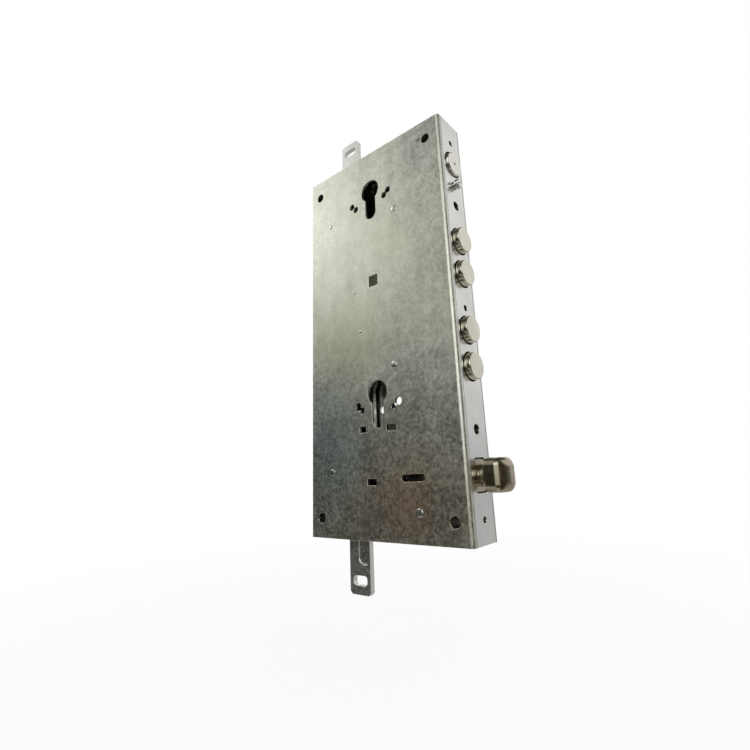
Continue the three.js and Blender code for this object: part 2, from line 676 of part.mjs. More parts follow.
function buildBoltWork() {
  const group = new THREE.Group();
  BOLT_HEIGHTS.forEach((z, index) => {
    const bolt = piece(`deadbolt_${index + 1}`, deadbolt(), nickel);
    const rivet = piece(`deadbolt_rivet_${index + 1}`, boltRivet(BOLT_RIVET_X), rivetSteel);
    bolt.position.z = z;
    rivet.position.z = z;
    group.add(bolt, rivet);
  });
  group.add(piece("carriage_plate", carriagePlate(), darkSteel));
  group.add(piece("drive_rack", driveRack(), darkSteel));
  RACK_RIVETS.forEach(([x, z], index) => {
    group.add(piece(`rack_rivet_${index + 1}`, rackRivet(x, z), rivetSteel));
  });
  group.add(piece("rod_pinion", rodPinion(), darkSteel));
  const top = piece("top_rod", topRod(), zincSheet);
  const bottom = piece("bottom_rod", bottomRod(), zincSheet);
  top.position.x = ROD_X;
  bottom.position.x = ROD_X;
  bottom.rotation.y = Math.PI;
  group.add(top, bottom);
  return group;
}

// ---------------------------------------------------------------- service bolt

function servicePlate() {
  const y = [-PLATE_HALF, PLATE_HALF];
  const armLow = UPPER_CYLINDER_Z + CAM_CLEARANCE_RADIUS - 0.2;
  const blank = joinAll([
    block([-53, -40], y, [SERVICE_Z - 6, SERVICE_PLATE_TOP]),
    block([-41, -27], y, [SERVICE_Z - TONGUE_HALF, SERVICE_Z + TONGUE_HALF]),
    block([-89, -50], y, [armLow, SERVICE_PLATE_TOP]),
  ]);
  const cut = cutAll(blank, [
    barY(-BACKSET, UPPER_CYLINDER_Z, CAM_CLEARANCE_RADIUS, THROUGH, FINE),
    barY(SERVICE_RIVET_X, SERVICE_Z, RIVET_CLEAR, THROUGH),
  ]);
  return joinAll([cut, prong(-80, armLow), prong(-62, armLow)]);
}

function serviceBolt() {
  const bolt = roundBolt(SERVICE_REAR, SERVICE_OUT, -26.6, SERVICE_RIVET_X);
  const dimple = turnedX([[SERVICE_OUT - 1, 0], [SERVICE_OUT + 0.5, 1.5], [SERVICE_OUT + 0.5, 0]], SMALL);
  return bolt.subtract(dimple);
}

function buildServiceBolt() {
  const group = new THREE.Group();
  const bolt = piece("service_bolt", serviceBolt(), nickel);
  const rivet = piece("service_rivet", boltRivet(SERVICE_RIVET_X), rivetSteel);
  bolt.position.z = SERVICE_Z;
  rivet.position.z = SERVICE_Z;
  group.add(bolt, rivet, piece("service_plate", servicePlate(), darkSteel));
  return group;
}

// ---------------------------------------------------------------- handle follower, link and crank

function follower() {
  const angle = Math.PI - HANDLE_TURN / 2;
  const tip = [ARM_RADIUS * Math.cos(angle), ARM_RADIUS * Math.sin(angle)];
  const body = joinAll([
    barY(0, 0, HUB_RADIUS, [-INNER + 0.15, INNER - 0.15], FINE),
    barY(0, 0, JOURNAL_RADIUS, [-HALF_THICK, HALF_THICK], MEDIUM),
    slotY([0, 0], tip, 2.1, LINK_LAYER),
    barY(tip[0], tip[1], ARM_TIP_RADIUS, LINK_LAYER, ROUND),
  ]);
  const half = SPINDLE_SQUARE / 2;
  return body.subtract(block([-half, half], THROUGH, [-half, half]));
}

// The flat link from the follower's arm down past the lower cylinder to the crank.
function latchLink() {
  const outline = [
    [-90.5, LINK_TOP],
    [-90.5, -24],
    [-102.5, -46],
    [-102.5, -90],
    [-66, -128],
    [LINK_PIN_X - 2, LINK_PIN_Z - 4.5],
    [LINK_PIN_X + 3, LINK_PIN_Z - 3.4],
    [LINK_PIN_X + 4.4, LINK_PIN_Z],
    [LINK_PIN_X + 3, LINK_PIN_Z + 3.4],
    [LINK_PIN_X - 2, LINK_PIN_Z + 4.5],
    [-62, -116],
    [-90.5, -85],
    [-90.5, -46],
    [-76.5, -20],
    [-76.5, 17],
    [-78.2, 19],
    [-78.2, LINK_TOP],
  ];
  const guide = [LINK_GUIDE_X, LINK_GUIDE_Z];
  const window = block([PEG_X - 3.6, PEG_X + 3.6], THROUGH, [PEG_Z - 3, WINDOW_TOP]);
  return cutAll(plateY(outline, LINK_LAYER), [
    slotY([guide[0], guide[1] - 0.5], [guide[0], guide[1] + LINK_STROKE + 0.5], 1.9, THROUGH),
    window,
    barY(LINK_PIN_X, LINK_PIN_Z, LINK_PIN_RADIUS + FIT, THROUGH),
  ]);
}

function linkPin() {
  return barY(LINK_PIN_X, LINK_PIN_Z, LINK_PIN_RADIUS, [CRANK_LAYER[0] - 0.3, LINK_LAYER[1] + 0.3]);
}

// A coil spring about the Z axis between two heights.
function coilSpring(low, high, turns, coilRadius, wireRadius) {
  class Helix extends THREE.Curve {
    getPoint(t, target = new THREE.Vector3()) {
      const angle = t * turns * 2 * Math.PI;
      const z = low + wireRadius + t * (high - low - 2 * wireRadius);
      return target.set(coilRadius * Math.cos(angle), coilRadius * Math.sin(angle), z);
    }
  }
  const section = new THREE.Shape();
  section.absarc(0, 0, wireRadius, 0, 2 * Math.PI, false);
  const wire = { steps: turns * 8, extrudePath: new Helix(), curveSegments: 3, bevelEnabled: false };
  return solid(new THREE.ExtrudeGeometry(section, wire));
}

// The two-armed crank: its upright arm draws the latch back, its rear arm is pulled by the link.
function latchCrank() {
  const turned = (length, angle) => [length * Math.cos(angle), length * Math.sin(angle)];
  const upright = Math.PI / 2 - CRANK_HALF_TURN;
  const rearward = Math.PI - CRANK_HALF_TURN;
  const body = joinAll([
    barY(0, 0, 6, CRANK_LAYER, ROUND),
    slotY([0, 0], turned(CRANK_RISE + 1.8, upright), 3.6, CRANK_LAYER),
    slotY([0, 0], turned(CRANK_REACH + 1.2, rearward), 4.4, CRANK_LAYER),
  ]);
  return cutAll(body, [
    barY(0, 0, 3.1, THROUGH, ROUND),
    slotY(turned(CRANK_RISE - 0.4, upright), turned(CRANK_RISE + 1.8, upright), 2.1, THROUGH),
    slotY(turned(CRANK_REACH - 0.4, rearward), turned(CRANK_REACH + 1.2, rearward), 2.3, THROUGH),
  ]);
}

function buildHandleWork() {
  const group = new THREE.Group();
  const hub = piece("handle_follower", follower(), followerSteel);
  hub.position.set(-BACKSET, 0, HANDLE_Z);
  const coil = coilSpring(PEG_Z + 2.1, WINDOW_TOP - 0.1, 7, 2.5, 0.45);
  const spring = piece("link_spring", coil, springSteel);
  spring.position.set(PEG_X, (LINK_LAYER[0] + LINK_LAYER[1]) / 2, 0);
  const crank = piece("latch_crank", latchCrank(), darkSteel);
  crank.position.set(CRANK_X, 0, CRANK_Z);
  group.add(hub, spring, crank);
  group.add(piece("latch_link", latchLink(), zincSheet));
  group.add(piece("link_pin", linkPin(), rivetSteel));
  return group;
}

// ---------------------------------------------------------------- latch

function latchNose() {
  const ramp = rampPoints();
  return ramp[ramp.length - 1][0];
}

// Points along the ramp, from the flat side to the nose, in plan.
function rampPoints() {
  const points = [[LATCH_RAMP_START, -LATCH_HEAD_HALF[0]]];
  let turned = 0;
  for (const [until, radius] of LATCH_RAMP_ARCS) {
    const steps = Math.ceil((until - turned) / 7);
    const start = points[points.length - 1];
    const first = THREE.MathUtils.degToRad(turned);
    for (let step = 1; step <= steps; step += 1) {
      const angle = THREE.MathUtils.degToRad(turned + ((until - turned) * step) / steps);
      const x = start[0] + radius * (Math.sin(angle) - Math.sin(first));
      const y = start[1] + radius * (Math.cos(first) - Math.cos(angle));
      points.push([x, y]);
    }
    turned = until;
  }
  return points;
}

// The latch's head in plan: a flat holding side, a ramp that turns to the nose and a rounded far corner.
function latchPlan() {
  const ramp = rampPoints();
  const [noseX, noseY] = ramp[ramp.length - 1];
  const corner = LATCH_HEAD_HALF[0] - noseY - LATCH_NOSE_FLAT;
  const plan = new THREE.Shape();
  plan.moveTo(LATCH_HEAD_BACK, LATCH_HEAD_HALF[0]);
  plan.lineTo(LATCH_HEAD_BACK, -LATCH_HEAD_HALF[0]);
  ramp.forEach(([x, y]) => plan.lineTo(x, y));
  plan.lineTo(noseX, noseY + LATCH_NOSE_FLAT);
  plan.absarc(noseX - corner, noseY + LATCH_NOSE_FLAT, corner, 0, Math.PI / 2, false);
  const height = 3 * LATCH_HEAD_HALF[1];
  const geometry = extrusion(plan, height, 6);
  geometry.translate(0, 0, -height / 2);
  return solid(geometry);
}

// The latch's head seen from the side: its outer corners are rounded.
function latchSideView() {
  const length = 2 * (latchNose() - LATCH_HEAD_BACK);
  return roundedRectY(LATCH_HEAD_BACK, 0, length, 2 * LATCH_HEAD_HALF[1], 4.5, THROUGH);
}

// The latch: a rounded block head and a collar on a turned waist, slotted behind for its tail.
function latchBolt() {
  const bar = roundedBarX(0, LATCH_HEAD_HALF, LATCH_HEAD_CORNER, [LATCH_HEAD_BACK, latchNose()]);
  const head = bar.intersect(latchPlan()).intersect(latchSideView());
  const collar = roundedBarX(0, growLatch(-0.2), LATCH_HEAD_CORNER - 0.2, LATCH_FLANGE);
  const waist = barX(0, 0, LATCH_WAIST_RADIUS, [LATCH_REAR, LATCH_HEAD_BACK + 1], FINE);
  const slot = block([LATCH_REAR - 1, TAIL_FRONT + 0.3], [-PLATE_HALF - 0.2, PLATE_HALF + 0.2], [-9, 9]);
  const rivetHole = barY(TAIL_RIVET_X, 0, TAIL_RIVET_RADIUS + FIT, THROUGH);
  return cutAll(head.add(collar).add(waist), [slot, rivetHole]);
}

function latchTail() {
  const y = [-PLATE_HALF, PLATE_HALF];
  return cutAll(block([TAIL_REAR, TAIL_FRONT], y, [-5, 5]), [
    barY(TAIL_RIVET_X, 0, TAIL_RIVET_RADIUS + FIT, THROUGH),
    barY(LATCH_PIN_X, 0, LATCH_PIN_RADIUS + FIT, THROUGH),
    barX(0, 0, SPRING_ROD_RADIUS + 0.15, [TAIL_REAR - 1, TAIL_REAR + 8]),
  ]);
}

function latchDrivePin() {
  return barY(LATCH_PIN_X, 0, LATCH_PIN_RADIUS, [-4, CRANK_LAYER[1] + 0.3]);
}

function springRod() {
  return barX(0, 0, SPRING_ROD_RADIUS, [-72, TAIL_REAR + 7.8]);
}

function buildLatch() {
  const group = new THREE.Group();
  group.position.z = LATCH_Z;
  const coil = coilSpring(SPRING_BRACKET[1] + 0.1, TAIL_REAR - 0.1, 7, 3.4, 0.5);
  const spring = piece("latch_spring", coil, springSteel);
  spring.rotation.y = Math.PI / 2;
  group.add(piece("latch_bolt", latchBolt(), nickel));
  group.add(piece("latch_tail", latchTail(), darkSteel));
  group.add(piece("latch_tail_rivet", barY(TAIL_RIVET_X, 0, TAIL_RIVET_RADIUS, [-6, 6]), rivetSteel));
  group.add(piece("latch_drive_pin", latchDrivePin(), rivetSteel));
  group.add(piece("spring_guide_rod", springRod(), rivetSteel));
  group.add(spring);
  return group;
}

// ---------------------------------------------------------------- the lock

const lock = new THREE.Group();
lock.add(buildCase());
lock.add(buildBoltWork());
lock.add(buildServiceBolt());
lock.add(buildHandleWork());
lock.add(buildLatch());

export default lock;
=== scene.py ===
"""Armoured-door mortise lock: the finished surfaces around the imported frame.

Lengths are metres. The lock stands upright, +X out of its faceplate, -Y towards its cover.
"""

import math

import bmesh
import bpy
from mathutils import Matrix, Vector


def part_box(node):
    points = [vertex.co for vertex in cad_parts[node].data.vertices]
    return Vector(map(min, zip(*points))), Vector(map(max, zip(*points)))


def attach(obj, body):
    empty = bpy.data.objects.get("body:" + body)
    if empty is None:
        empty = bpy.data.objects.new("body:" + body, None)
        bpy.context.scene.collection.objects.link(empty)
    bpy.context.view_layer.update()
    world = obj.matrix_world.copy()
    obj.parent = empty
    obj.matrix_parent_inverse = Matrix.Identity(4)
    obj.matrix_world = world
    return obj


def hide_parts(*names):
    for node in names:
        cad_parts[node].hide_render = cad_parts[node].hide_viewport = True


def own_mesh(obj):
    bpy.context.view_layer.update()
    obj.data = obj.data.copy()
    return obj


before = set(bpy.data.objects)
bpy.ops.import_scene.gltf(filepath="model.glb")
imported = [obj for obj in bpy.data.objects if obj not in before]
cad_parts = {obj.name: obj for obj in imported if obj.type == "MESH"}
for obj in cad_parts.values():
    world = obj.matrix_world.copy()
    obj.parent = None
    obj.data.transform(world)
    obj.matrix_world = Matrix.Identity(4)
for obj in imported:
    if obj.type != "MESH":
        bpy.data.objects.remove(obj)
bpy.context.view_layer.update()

MM = 0.001
QUARTER = math.pi / 2
X_AXIS, Y_AXIS, Z_AXIS = range(3)

# ---------------------------------------------------------------- places read from the frame


def centre(node):
    low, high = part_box(node)
    return (low + high) / 2


COVER_LOW, COVER_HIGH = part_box("cover_plate")
SHELL_LOW, SHELL_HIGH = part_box("back_shell")
FACE_LOW, FACE_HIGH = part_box("faceplate")
COVER_Y = COVER_LOW.y
BACK_Y = SHELL_HIGH.y
REAR = SHELL_LOW.x
FOOT = SHELL_LOW.z
TOP = SHELL_HIGH.z
SHEET = 2 * MM
BEND = 3 * MM
EDGE_ROLL = 0.35 * MM
BACKSET = 67.5 * MM
HUB_RADIUS = 10 * MM
HANDLE_X = -BACKSET
HANDLE_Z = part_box("handle_follower")[0].z + HUB_RADIUS
UPPER_CYLINDER_RISE = 77 * MM
LOWER_CYLINDER_DROP = 85 * MM
UPPER_CYLINDER_Z = HANDLE_Z + UPPER_CYLINDER_RISE
LOWER_CYLINDER_Z = HANDLE_Z - LOWER_CYLINDER_DROP
LATCH_Z = centre("latch_bolt").z
STRAP_HALF_WIDTH = 9.5 * MM
ROD_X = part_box("top_rod")[0].x + STRAP_HALF_WIDTH
ROD_THROW = 24 * MM
PLATE_SLOT_HALF = 2.2 * MM
FACE_SCREWS = (125 * MM, -4.5 * MM, -137.5 * MM)
DOOR_SCREWS = (72.5 * MM, -84.5 * MM)

CORNER_TUBES = ["upper_rear_tube", "upper_front_tube", "lower_rear_tube", "lower_front_tube"]
CORNER_HOLE = 3.5 * MM
DEADBOLTS = range(1, 5)
THROUGH_SPIGOTS = {
    "upper_rod_guide_post": 1.6 * MM,
    "lower_rod_guide_post": 2.3 * MM,
    "upper_spacer_post": 2.5 * MM,
    "link_guide_post": 1.2 * MM,
    "crank_pivot_post": 2.6 * MM,
}
STUD_SPIGOTS = {
    "rod_rest_stud": 1.2 * MM,
    "carriage_rest_stud": 2.4 * MM,
}
# The radius of each post's peened end in the cover.
SPIGOT_RADIUS = {**THROUGH_SPIGOTS, **STUD_SPIGOTS}

# Screw holes beside each cylinder: x, height from the cylinder's centre, radius.
UPPER_SCREW_HOLES = [(-87, -6.8, 2.4), (-83, -10.6, 2.4), (-49.6, -7, 2.4), (-53.5, -10.1, 2.4)]
LOWER_SCREW_HOLES = [(-85.9, -8.1, 2.75), (-82.2, -11.1, 2.2), (-49, -8.1, 2.75), (-52.9, -11.1, 2.2)]

# ---------------------------------------------------------------- outlines, as lists of (u, v)


def arc(u, v, radius, start, end, steps=12):
    turn = (end - start) / steps
    angles = [start + turn * step for step in range(steps + 1)]
    return [(u + radius * math.cos(a), v + radius * math.sin(a)) for a in angles]


def circle(u, v, radius, steps=72):
    return arc(u, v, radius, 0, 2 * math.pi, steps)[:-1]


def slot_outline(a, b, radius, steps=14):
    angle = math.atan2(b[1] - a[1], b[0] - a[0])
    far = arc(b[0], b[1], radius, angle - QUARTER, angle + QUARTER, steps)
    return far + arc(a[0], a[1], radius, angle + QUARTER, angle + 3 * QUARTER, steps)


def rounded(u, v, width, height, radius, steps=8):
    right = u + width / 2 - radius
    left = u - width / 2 + radius
    top = v + height / 2 - radius
    foot = v - height / 2 + radius
    points = []
    for index, corner in enumerate([(right, top), (left, top), (left, foot), (right, foot)]):
        points += arc(*corner, radius, index * QUARTER, (index + 1) * QUARTER, steps)
    return points


def euro_outline(z, grow):
    """The euro-profile hole: a round seat over a tongue with a round foot."""
    seat = 8.7 * MM + grow
    half = 5.2 * MM + grow
    drop = 19.5 * MM
    meet = math.acos(half / seat)
    outline = arc(HANDLE_X, z, seat, -meet, math.pi + meet, 56)
    return outline + arc(HANDLE_X, z - drop, half, math.pi, 2 * math.pi, 28)


# ---------------------------------------------------------------- meshes


def place(axis, outline, level):
    """The outline's points in space, on the plane across the axis at that level."""
    if axis == "X":
        return [(level, u, v) for u, v in outline]
    if axis == "Y":
        return [(u, level, v) for u, v in outline]
    return [(u, v, level) for u, v in outline]


def loft(rings):
    bm = bmesh.new()
    loops = [[bm.verts.new(point) for point in ring] for ring in rings]
    for near, far in zip(loops, loops[1:]):
        count = len(near)
        for i in range(count):
            j = (i + 1) % count
            bm.faces.new((near[i], near[j], far[j], far[i]))
    bm.faces.new(list(reversed(loops[0])))
    bm.faces.new(loops[-1])
    bmesh.ops.recalc_face_normals(bm, faces=bm.faces)
    return bm


def prism(axis, outline, low, high):
    return loft([place(axis, outline, low), place(axis, outline, high)])


def block(low, high):
    outline = [(low[0], low[1]), (high[0], low[1]), (high[0], high[1]), (low[0], high[1])]
    return prism("Z", outline, low[2], high[2])


def lathe(axis, u, v, profile, steps=72):
    """A turned solid. The profile lists (level, radius)."""
    return loft([place(axis, circle(u, v, radius, steps), level) for level, radius in profile])


def rolled(shape, axis, outer, inner, roll=EDGE_ROLL):
    """A cutter whose hole has a rolled-in edge on its outer face. shape(grow) gives the outline."""
    steps = 5
    inward = 1 if inner > outer else -1
    clear = 2 * MM
    rings = [place(axis, shape(roll), outer - inward * clear)]
    for step in range(steps + 1):
        turn = QUARTER * step / steps
        depth = roll * (1 - math.cos(turn))
        rings.append(place(axis, shape(roll * (1 - math.sin(turn))), outer + inward * depth))
    rings.append(place(axis, shape(0), inner + inward * clear))
    return loft(rings)


def soften(bm, width, segments=2, angle=35):
    """Rounds every edge sharper than the angle."""
    limit = math.radians(angle)
    edges = [e for e in bm.edges if len(e.link_faces) == 2 and e.calc_face_angle(0) > limit]
    bmesh.ops.bevel(
        bm,
        geom=edges,
        offset=width,
        offset_type="OFFSET",
        segments=segments,
        profile=0.5,
        affect="EDGES",
        clamp_overlap=True,
    )
    return bm


def merged(meshes):
    whole = bmesh.new()
    for bm in meshes:
        mesh = bpy.data.meshes.new("part")
        bm.to_mesh(mesh)
        bm.free()
        whole.from_mesh(mesh)
        bpy.data.meshes.remove(mesh)
    return whole


def scratch_object(bm):
    mesh = bpy.data.meshes.new("scratch")
    bm.to_mesh(mesh)
    bm.free()
    obj = bpy.data.objects.new("scratch", mesh)
    bpy.context.scene.collection.objects.link(obj)
    return obj


def combine(bm, tool, operation):
    body = scratch_object(bm)
    other = scratch_object(tool)
    modifier = body.modifiers.new("combine", "BOOLEAN")
    modifier.operation = operation
    modifier.solver = "MANIFOLD"
    modifier.object = other
    graph = bpy.context.evaluated_depsgraph_get()
    made = bmesh.new()
    made.from_mesh(body.evaluated_get(graph).to_mesh())
    for obj in (body, other):
        mesh = obj.data
        bpy.data.objects.remove(obj)
        bpy.data.meshes.remove(mesh)
    return made


def carve(bm, *layers):
    """Cuts the tools away, one layer at a time. The tools of one layer don't touch each other."""
    for tools in layers:
        bm = combine(bm, merged(tools), "DIFFERENCE")
    return bm


def join(bm, other):
    return combine(bm, other, "UNION")


def common(bm, other):
    return combine(bm, other, "INTERSECT")


def piece(name, bm, body, material, nodes):
    """The mesh as a finished piece that rides on a body and stands for CAD nodes."""
    mesh = bpy.data.meshes.new(name)
    bmesh.ops.remove_doubles(bm, verts=bm.verts, dist=0.002 * MM)
    bm.to_mesh(mesh)
    bm.free()
    mesh.shade_smooth()
    mesh.set_sharp_from_angle(angle=math.radians(28))
    mesh.materials.append(material)
    obj = bpy.data.objects.new(name, mesh)
    bpy.context.scene.collection.objects.link(obj)
    even = obj.modifiers.new("even_shading", "WEIGHTED_NORMAL")
    even.keep_sharp = True
    even.weight = 100
    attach(obj, body)
    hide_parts(*nodes)
    return obj


def refined(node):
    """A copy of a CAD node's mesh, with its corners welded and its flat faces made whole."""
    bm = bmesh.new()
    bm.from_mesh(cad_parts[node].data)
    bmesh.ops.remove_doubles(bm, verts=bm.verts, dist=0.001 * MM)
    bmesh.ops.dissolve_limit(bm, angle_limit=math.radians(0.5), verts=bm.verts, edges=bm.edges)
    return bm


# ---------------------------------------------------------------- materials


# The share of a stain's reach over which it fades.
SOFT_SHARE = 0.9


class Graph:
    """A material's node tree, with short calls for the nodes that the finishes use."""

    def __init__(self, name):
        self.material = bpy.data.materials.new(name)
        self.material.use_nodes = True
        self.tree = self.material.node_tree
        self.tree.nodes.clear()
        self.point = self.node("ShaderNodeTexCoord").outputs["Object"]

    def node(self, kind, **settings):
        made = self.tree.nodes.new(kind)
        for key, value in settings.items():
            setattr(made, key, value)
        return made

    def feed(self, socket, value):
        if isinstance(value, bpy.types.NodeSocket):
            self.tree.links.new(value, socket)
        else:
            socket.default_value = value

    def stretch(self, scale):
        mapping = self.node("ShaderNodeMapping")
        self.feed(mapping.inputs["Vector"], self.point)
        mapping.inputs["Scale"].default_value = scale
        return mapping.outputs["Vector"]

    def noise(self, scale, detail=4, roughness=0.55, vector=None, distortion=0):
        made = self.node("ShaderNodeTexNoise")
        self.feed(made.inputs["Vector"], vector or self.point)
        made.inputs["Scale"].default_value = scale
        made.inputs["Detail"].default_value = detail
        made.inputs["Roughness"].default_value = roughness
        made.inputs["Distortion"].default_value = distortion
        return made.outputs["Fac"]

    def cells(self, scale, vector):
        made = self.node("ShaderNodeTexVoronoi")
        self.feed(made.inputs["Vector"], vector)
        made.inputs["Scale"].default_value = scale
        return made.outputs["Color"]

    def math(self, operation, a, b):
        made = self.node("ShaderNodeMath", operation=operation)
        self.feed(made.inputs[0], a)
        self.feed(made.inputs[1], b)
        return made.outputs[0]

    def span(self, value, low, high, start, end):
        """The value mapped from low..high to start..end and held at the ends."""
        made = self.node("ShaderNodeMapRange")
        self.feed(made.inputs["Value"], value)
        for name, number in zip(("From Min", "From Max", "To Min", "To Max"), (low, high, start, end)):
            made.inputs[name].default_value = number
        return made.outputs["Result"]

    def mix(self, share, a, b):
        made = self.node("ShaderNodeMix", data_type="RGBA")
        self.feed(made.inputs["Factor"], share)
        self.feed(made.inputs["A"], a)
        self.feed(made.inputs["B"], b)
        return made.outputs["Result"]

    def patch(self, middle, size):
        """1 in the middle of a soft ellipsoid, fading to 0 at its edge."""
        shift = self.node("ShaderNodeVectorMath", operation="SUBTRACT")
        self.feed(shift.inputs[0], self.point)
        shift.inputs[1].default_value = middle
        shrink = self.node("ShaderNodeVectorMath", operation="DIVIDE")
        self.feed(shrink.inputs[0], shift.outputs[0])
        shrink.inputs[1].default_value = size
        length = self.node("ShaderNodeVectorMath", operation="LENGTH")
        self.feed(length.inputs[0], shrink.outputs[0])
        return self.span(length.outputs["Value"], 1 - SOFT_SHARE, 1, 1, 0)

    def bump(self, height, distance, strength):
        made = self.node("ShaderNodeBump")
        made.inputs["Distance"].default_value = distance
        made.inputs["Strength"].default_value = strength
        self.feed(made.inputs["Height"], height)
        return made.outputs["Normal"]

    def metal(self, tint, roughness, normal):
        shader = self.node("ShaderNodeBsdfPrincipled")
        shader.inputs["Metallic"].default_value = 1
        self.feed(shader.inputs["Base Color"], tint)
        self.feed(shader.inputs["Roughness"], roughness)
        self.feed(shader.inputs["Normal"], normal)
        output = self.node("ShaderNodeOutputMaterial")
        self.feed(output.inputs["Surface"], shader.outputs[0])
        return self.material


def colour(red, green, blue):
    return (red, green, blue, 1)


def grey_of(graph, tint):
    """One random number from 0 to 1 for each cell: the red of its random colour."""
    split = graph.node("ShaderNodeSeparateColor")
    graph.feed(split.inputs[0], tint)
    return split.outputs[0]


def zinc_finish(name, light, dark, stains=(), roughness=(0.3, 0.42)):
    """Zinc-plated sheet: fine mottling, upright streaks, soft stains and hairline scratches."""
    g = Graph(name)
    wander = g.mix(0.012, g.point, g.node("ShaderNodeTexNoise").outputs["Color"])
    spangle = grey_of(g, g.cells(150, wander))
    mottle = g.span(g.noise(430, 3, 0.55, distortion=0.6), 0.36, 0.64, 0, 1)
    cloud = g.noise(30, 4, 0.6, distortion=0.4)
    streak = g.noise(120, 4, 0.6, g.stretch((1, 1, 0.12)))
    tone = g.math("ADD", g.math("MULTIPLY", spangle, 0.09), g.math("MULTIPLY", mottle, 0.14))
    tone = g.math("ADD", tone, g.math("MULTIPLY", streak, 0.25))
    tone = g.math("ADD", tone, g.math("MULTIPLY", cloud, 0.25))
    base = g.mix(g.span(tone, 0.19, 0.51, 0, 1), dark, light)
    for middle, size, tint, share in stains:
        reach = g.math("MULTIPLY", g.patch(middle, size), share)
        base = g.mix(g.math("MULTIPLY", reach, g.span(cloud, 0.3, 0.6, 0.6, 1)), base, tint)
    hair = g.span(g.noise(90, 6, 0.75, g.stretch((9, 9, 1))), 0.66, 0.72, 0, 1)
    base = g.mix(g.math("MULTIPLY", hair, 0.2), base, colour(0.84, 0.84, 0.80))
    dullness = g.math("ADD", g.math("MULTIPLY", cloud, 0.6), g.math("MULTIPLY", mottle, 0.4))
    rough = g.span(dullness, 0.3, 0.7, *roughness)
    return g.metal(base, rough, g.bump(mottle, 0.02 * MM, 0.4))


def brushed_finish(name, light, dark, along, roughness):
    """Satin steel: fine grain along one direction with soft clouds."""
    g = Graph(name)
    stretched = tuple(4 if axis == along else 260 for axis in range(3))
    grain = g.noise(6, 4, 0.7, g.stretch(stretched))
    cloud = g.noise(38, 3, 0.55)
    speck = g.noise(700, 3, 0.6)
    tone = g.math("ADD", g.math("MULTIPLY", grain, 0.4), g.math("MULTIPLY", cloud, 0.5))
    tone = g.math("ADD", tone, g.math("MULTIPLY", speck, 0.1))
    base = g.mix(g.span(tone, 0.38, 0.62, 0, 1), dark, light)
    rough = g.span(grain, 0.3, 0.7, *roughness)
    return g.metal(base, rough, g.bump(grain, 0.01 * MM, 0.5))


def turned_finish(name, light, dark, across, roughness=(0.12, 0.24)):
    """Plated or bare turned steel with faint tool rings across an axis and handling marks."""
    g = Graph(name)
    stretched = tuple(60 if axis == across else 1.5 for axis in range(3))
    rings = g.noise(30, 4, 0.7, g.stretch(stretched))
    marks = g.noise(240, 5, 0.65)
    cloud = g.noise(60, 3, 0.5)
    tone = g.math("ADD", g.math("MULTIPLY", rings, 0.3), g.math("MULTIPLY", cloud, 0.7))
    base = g.mix(g.span(tone, 0.36, 0.64, 0, 1), dark, light)
    rough = g.span(marks, 0.35, 0.7, *roughness)
    return g.metal(base, rough, g.bump(rings, 0.002 * MM, 0.4))


def cast_finish(name, light, dark, roughness=(0.3, 0.48)):
    """Dull working steel with an oily bloom."""
    g = Graph(name)
    bloom = g.noise(55, 5, 0.6, distortion=0.6)
    pits = g.noise(650, 4, 0.65)
    base = g.mix(g.span(bloom, 0.36, 0.64, 0, 1), dark, light)
    rough = g.span(bloom, 0.3, 0.7, *roughness)
    return g.metal(base, rough, g.bump(pits, 0.015 * MM, 0.5))


# Stains on the cover: middle, size, tint and strength.
COVER_STAINS = [
    ((-0.045, COVER_Y, -0.128), (0.060, 0.05, 0.045), colour(0.62, 0.44, 0.32), 0.75),
    ((-0.118, COVER_Y, -0.085), (0.050, 0.05, 0.060), colour(0.46, 0.60, 0.64), 0.7),
    ((-0.095, COVER_Y, -0.010), (0.050, 0.05, 0.045), colour(0.64, 0.68, 0.46), 0.6),
    ((-0.045, COVER_Y, 0.060), (0.050, 0.05, 0.060), colour(0.74, 0.72, 0.60), 0.4),
    ((-0.020, COVER_Y, 0.125), (0.024, 0.05, 0.030), colour(0.56, 0.58, 0.56), 0.4),
    ((-0.120, COVER_Y, 0.090), (0.050, 0.05, 0.070), colour(0.80, 0.83, 0.76), 0.5),
    # The knocked corner: a bright scrape, and a dark nick beside the top front hole.
    ((-0.0225, COVER_Y, 0.1335), (0.0060, 0.05, 0.0024), colour(0.95, 0.95, 0.90), 0.9),
    ((-0.0183, COVER_Y, 0.1290), (0.0034, 0.05, 0.0022), colour(0.14, 0.15, 0.12), 1.0),
]
COVER_ZINC = zinc_finish("zinc_cover", colour(0.83, 0.83, 0.77), colour(0.50, 0.50, 0.445), COVER_STAINS)
SHELL_ZINC = zinc_finish("zinc_shell", colour(0.78, 0.78, 0.73), colour(0.62, 0.62, 0.58))
ROD_ZINC = zinc_finish(
    "zinc_rod", colour(0.82, 0.82, 0.80), colour(0.66, 0.665, 0.65), roughness=(0.26, 0.38)
)
FACE_STEEL = brushed_finish(
    "face_steel", colour(0.80, 0.80, 0.785), colour(0.68, 0.68, 0.67), Z_AXIS, (0.20, 0.28)
)
NICKEL = turned_finish("nickel", colour(0.76, 0.74, 0.65), colour(0.65, 0.62, 0.53), X_AXIS, (0.07, 0.15))
LATCH_NICKEL = turned_finish(
    "latch_nickel", colour(0.52, 0.47, 0.37), colour(0.36, 0.32, 0.24), Z_AXIS, (0.17, 0.27)
)
PALE_NICKEL = turned_finish("pale_nickel", colour(0.80, 0.79, 0.75), colour(0.70, 0.69, 0.65), X_AXIS)
BRIGHT_STEEL = turned_finish(
    "bright_steel", colour(0.80, 0.80, 0.78), colour(0.62, 0.62, 0.60), Y_AXIS, (0.2, 0.36)
)
DARK_STEEL = cast_finish("dark_steel", colour(0.36, 0.35, 0.32), colour(0.22, 0.21, 0.19))
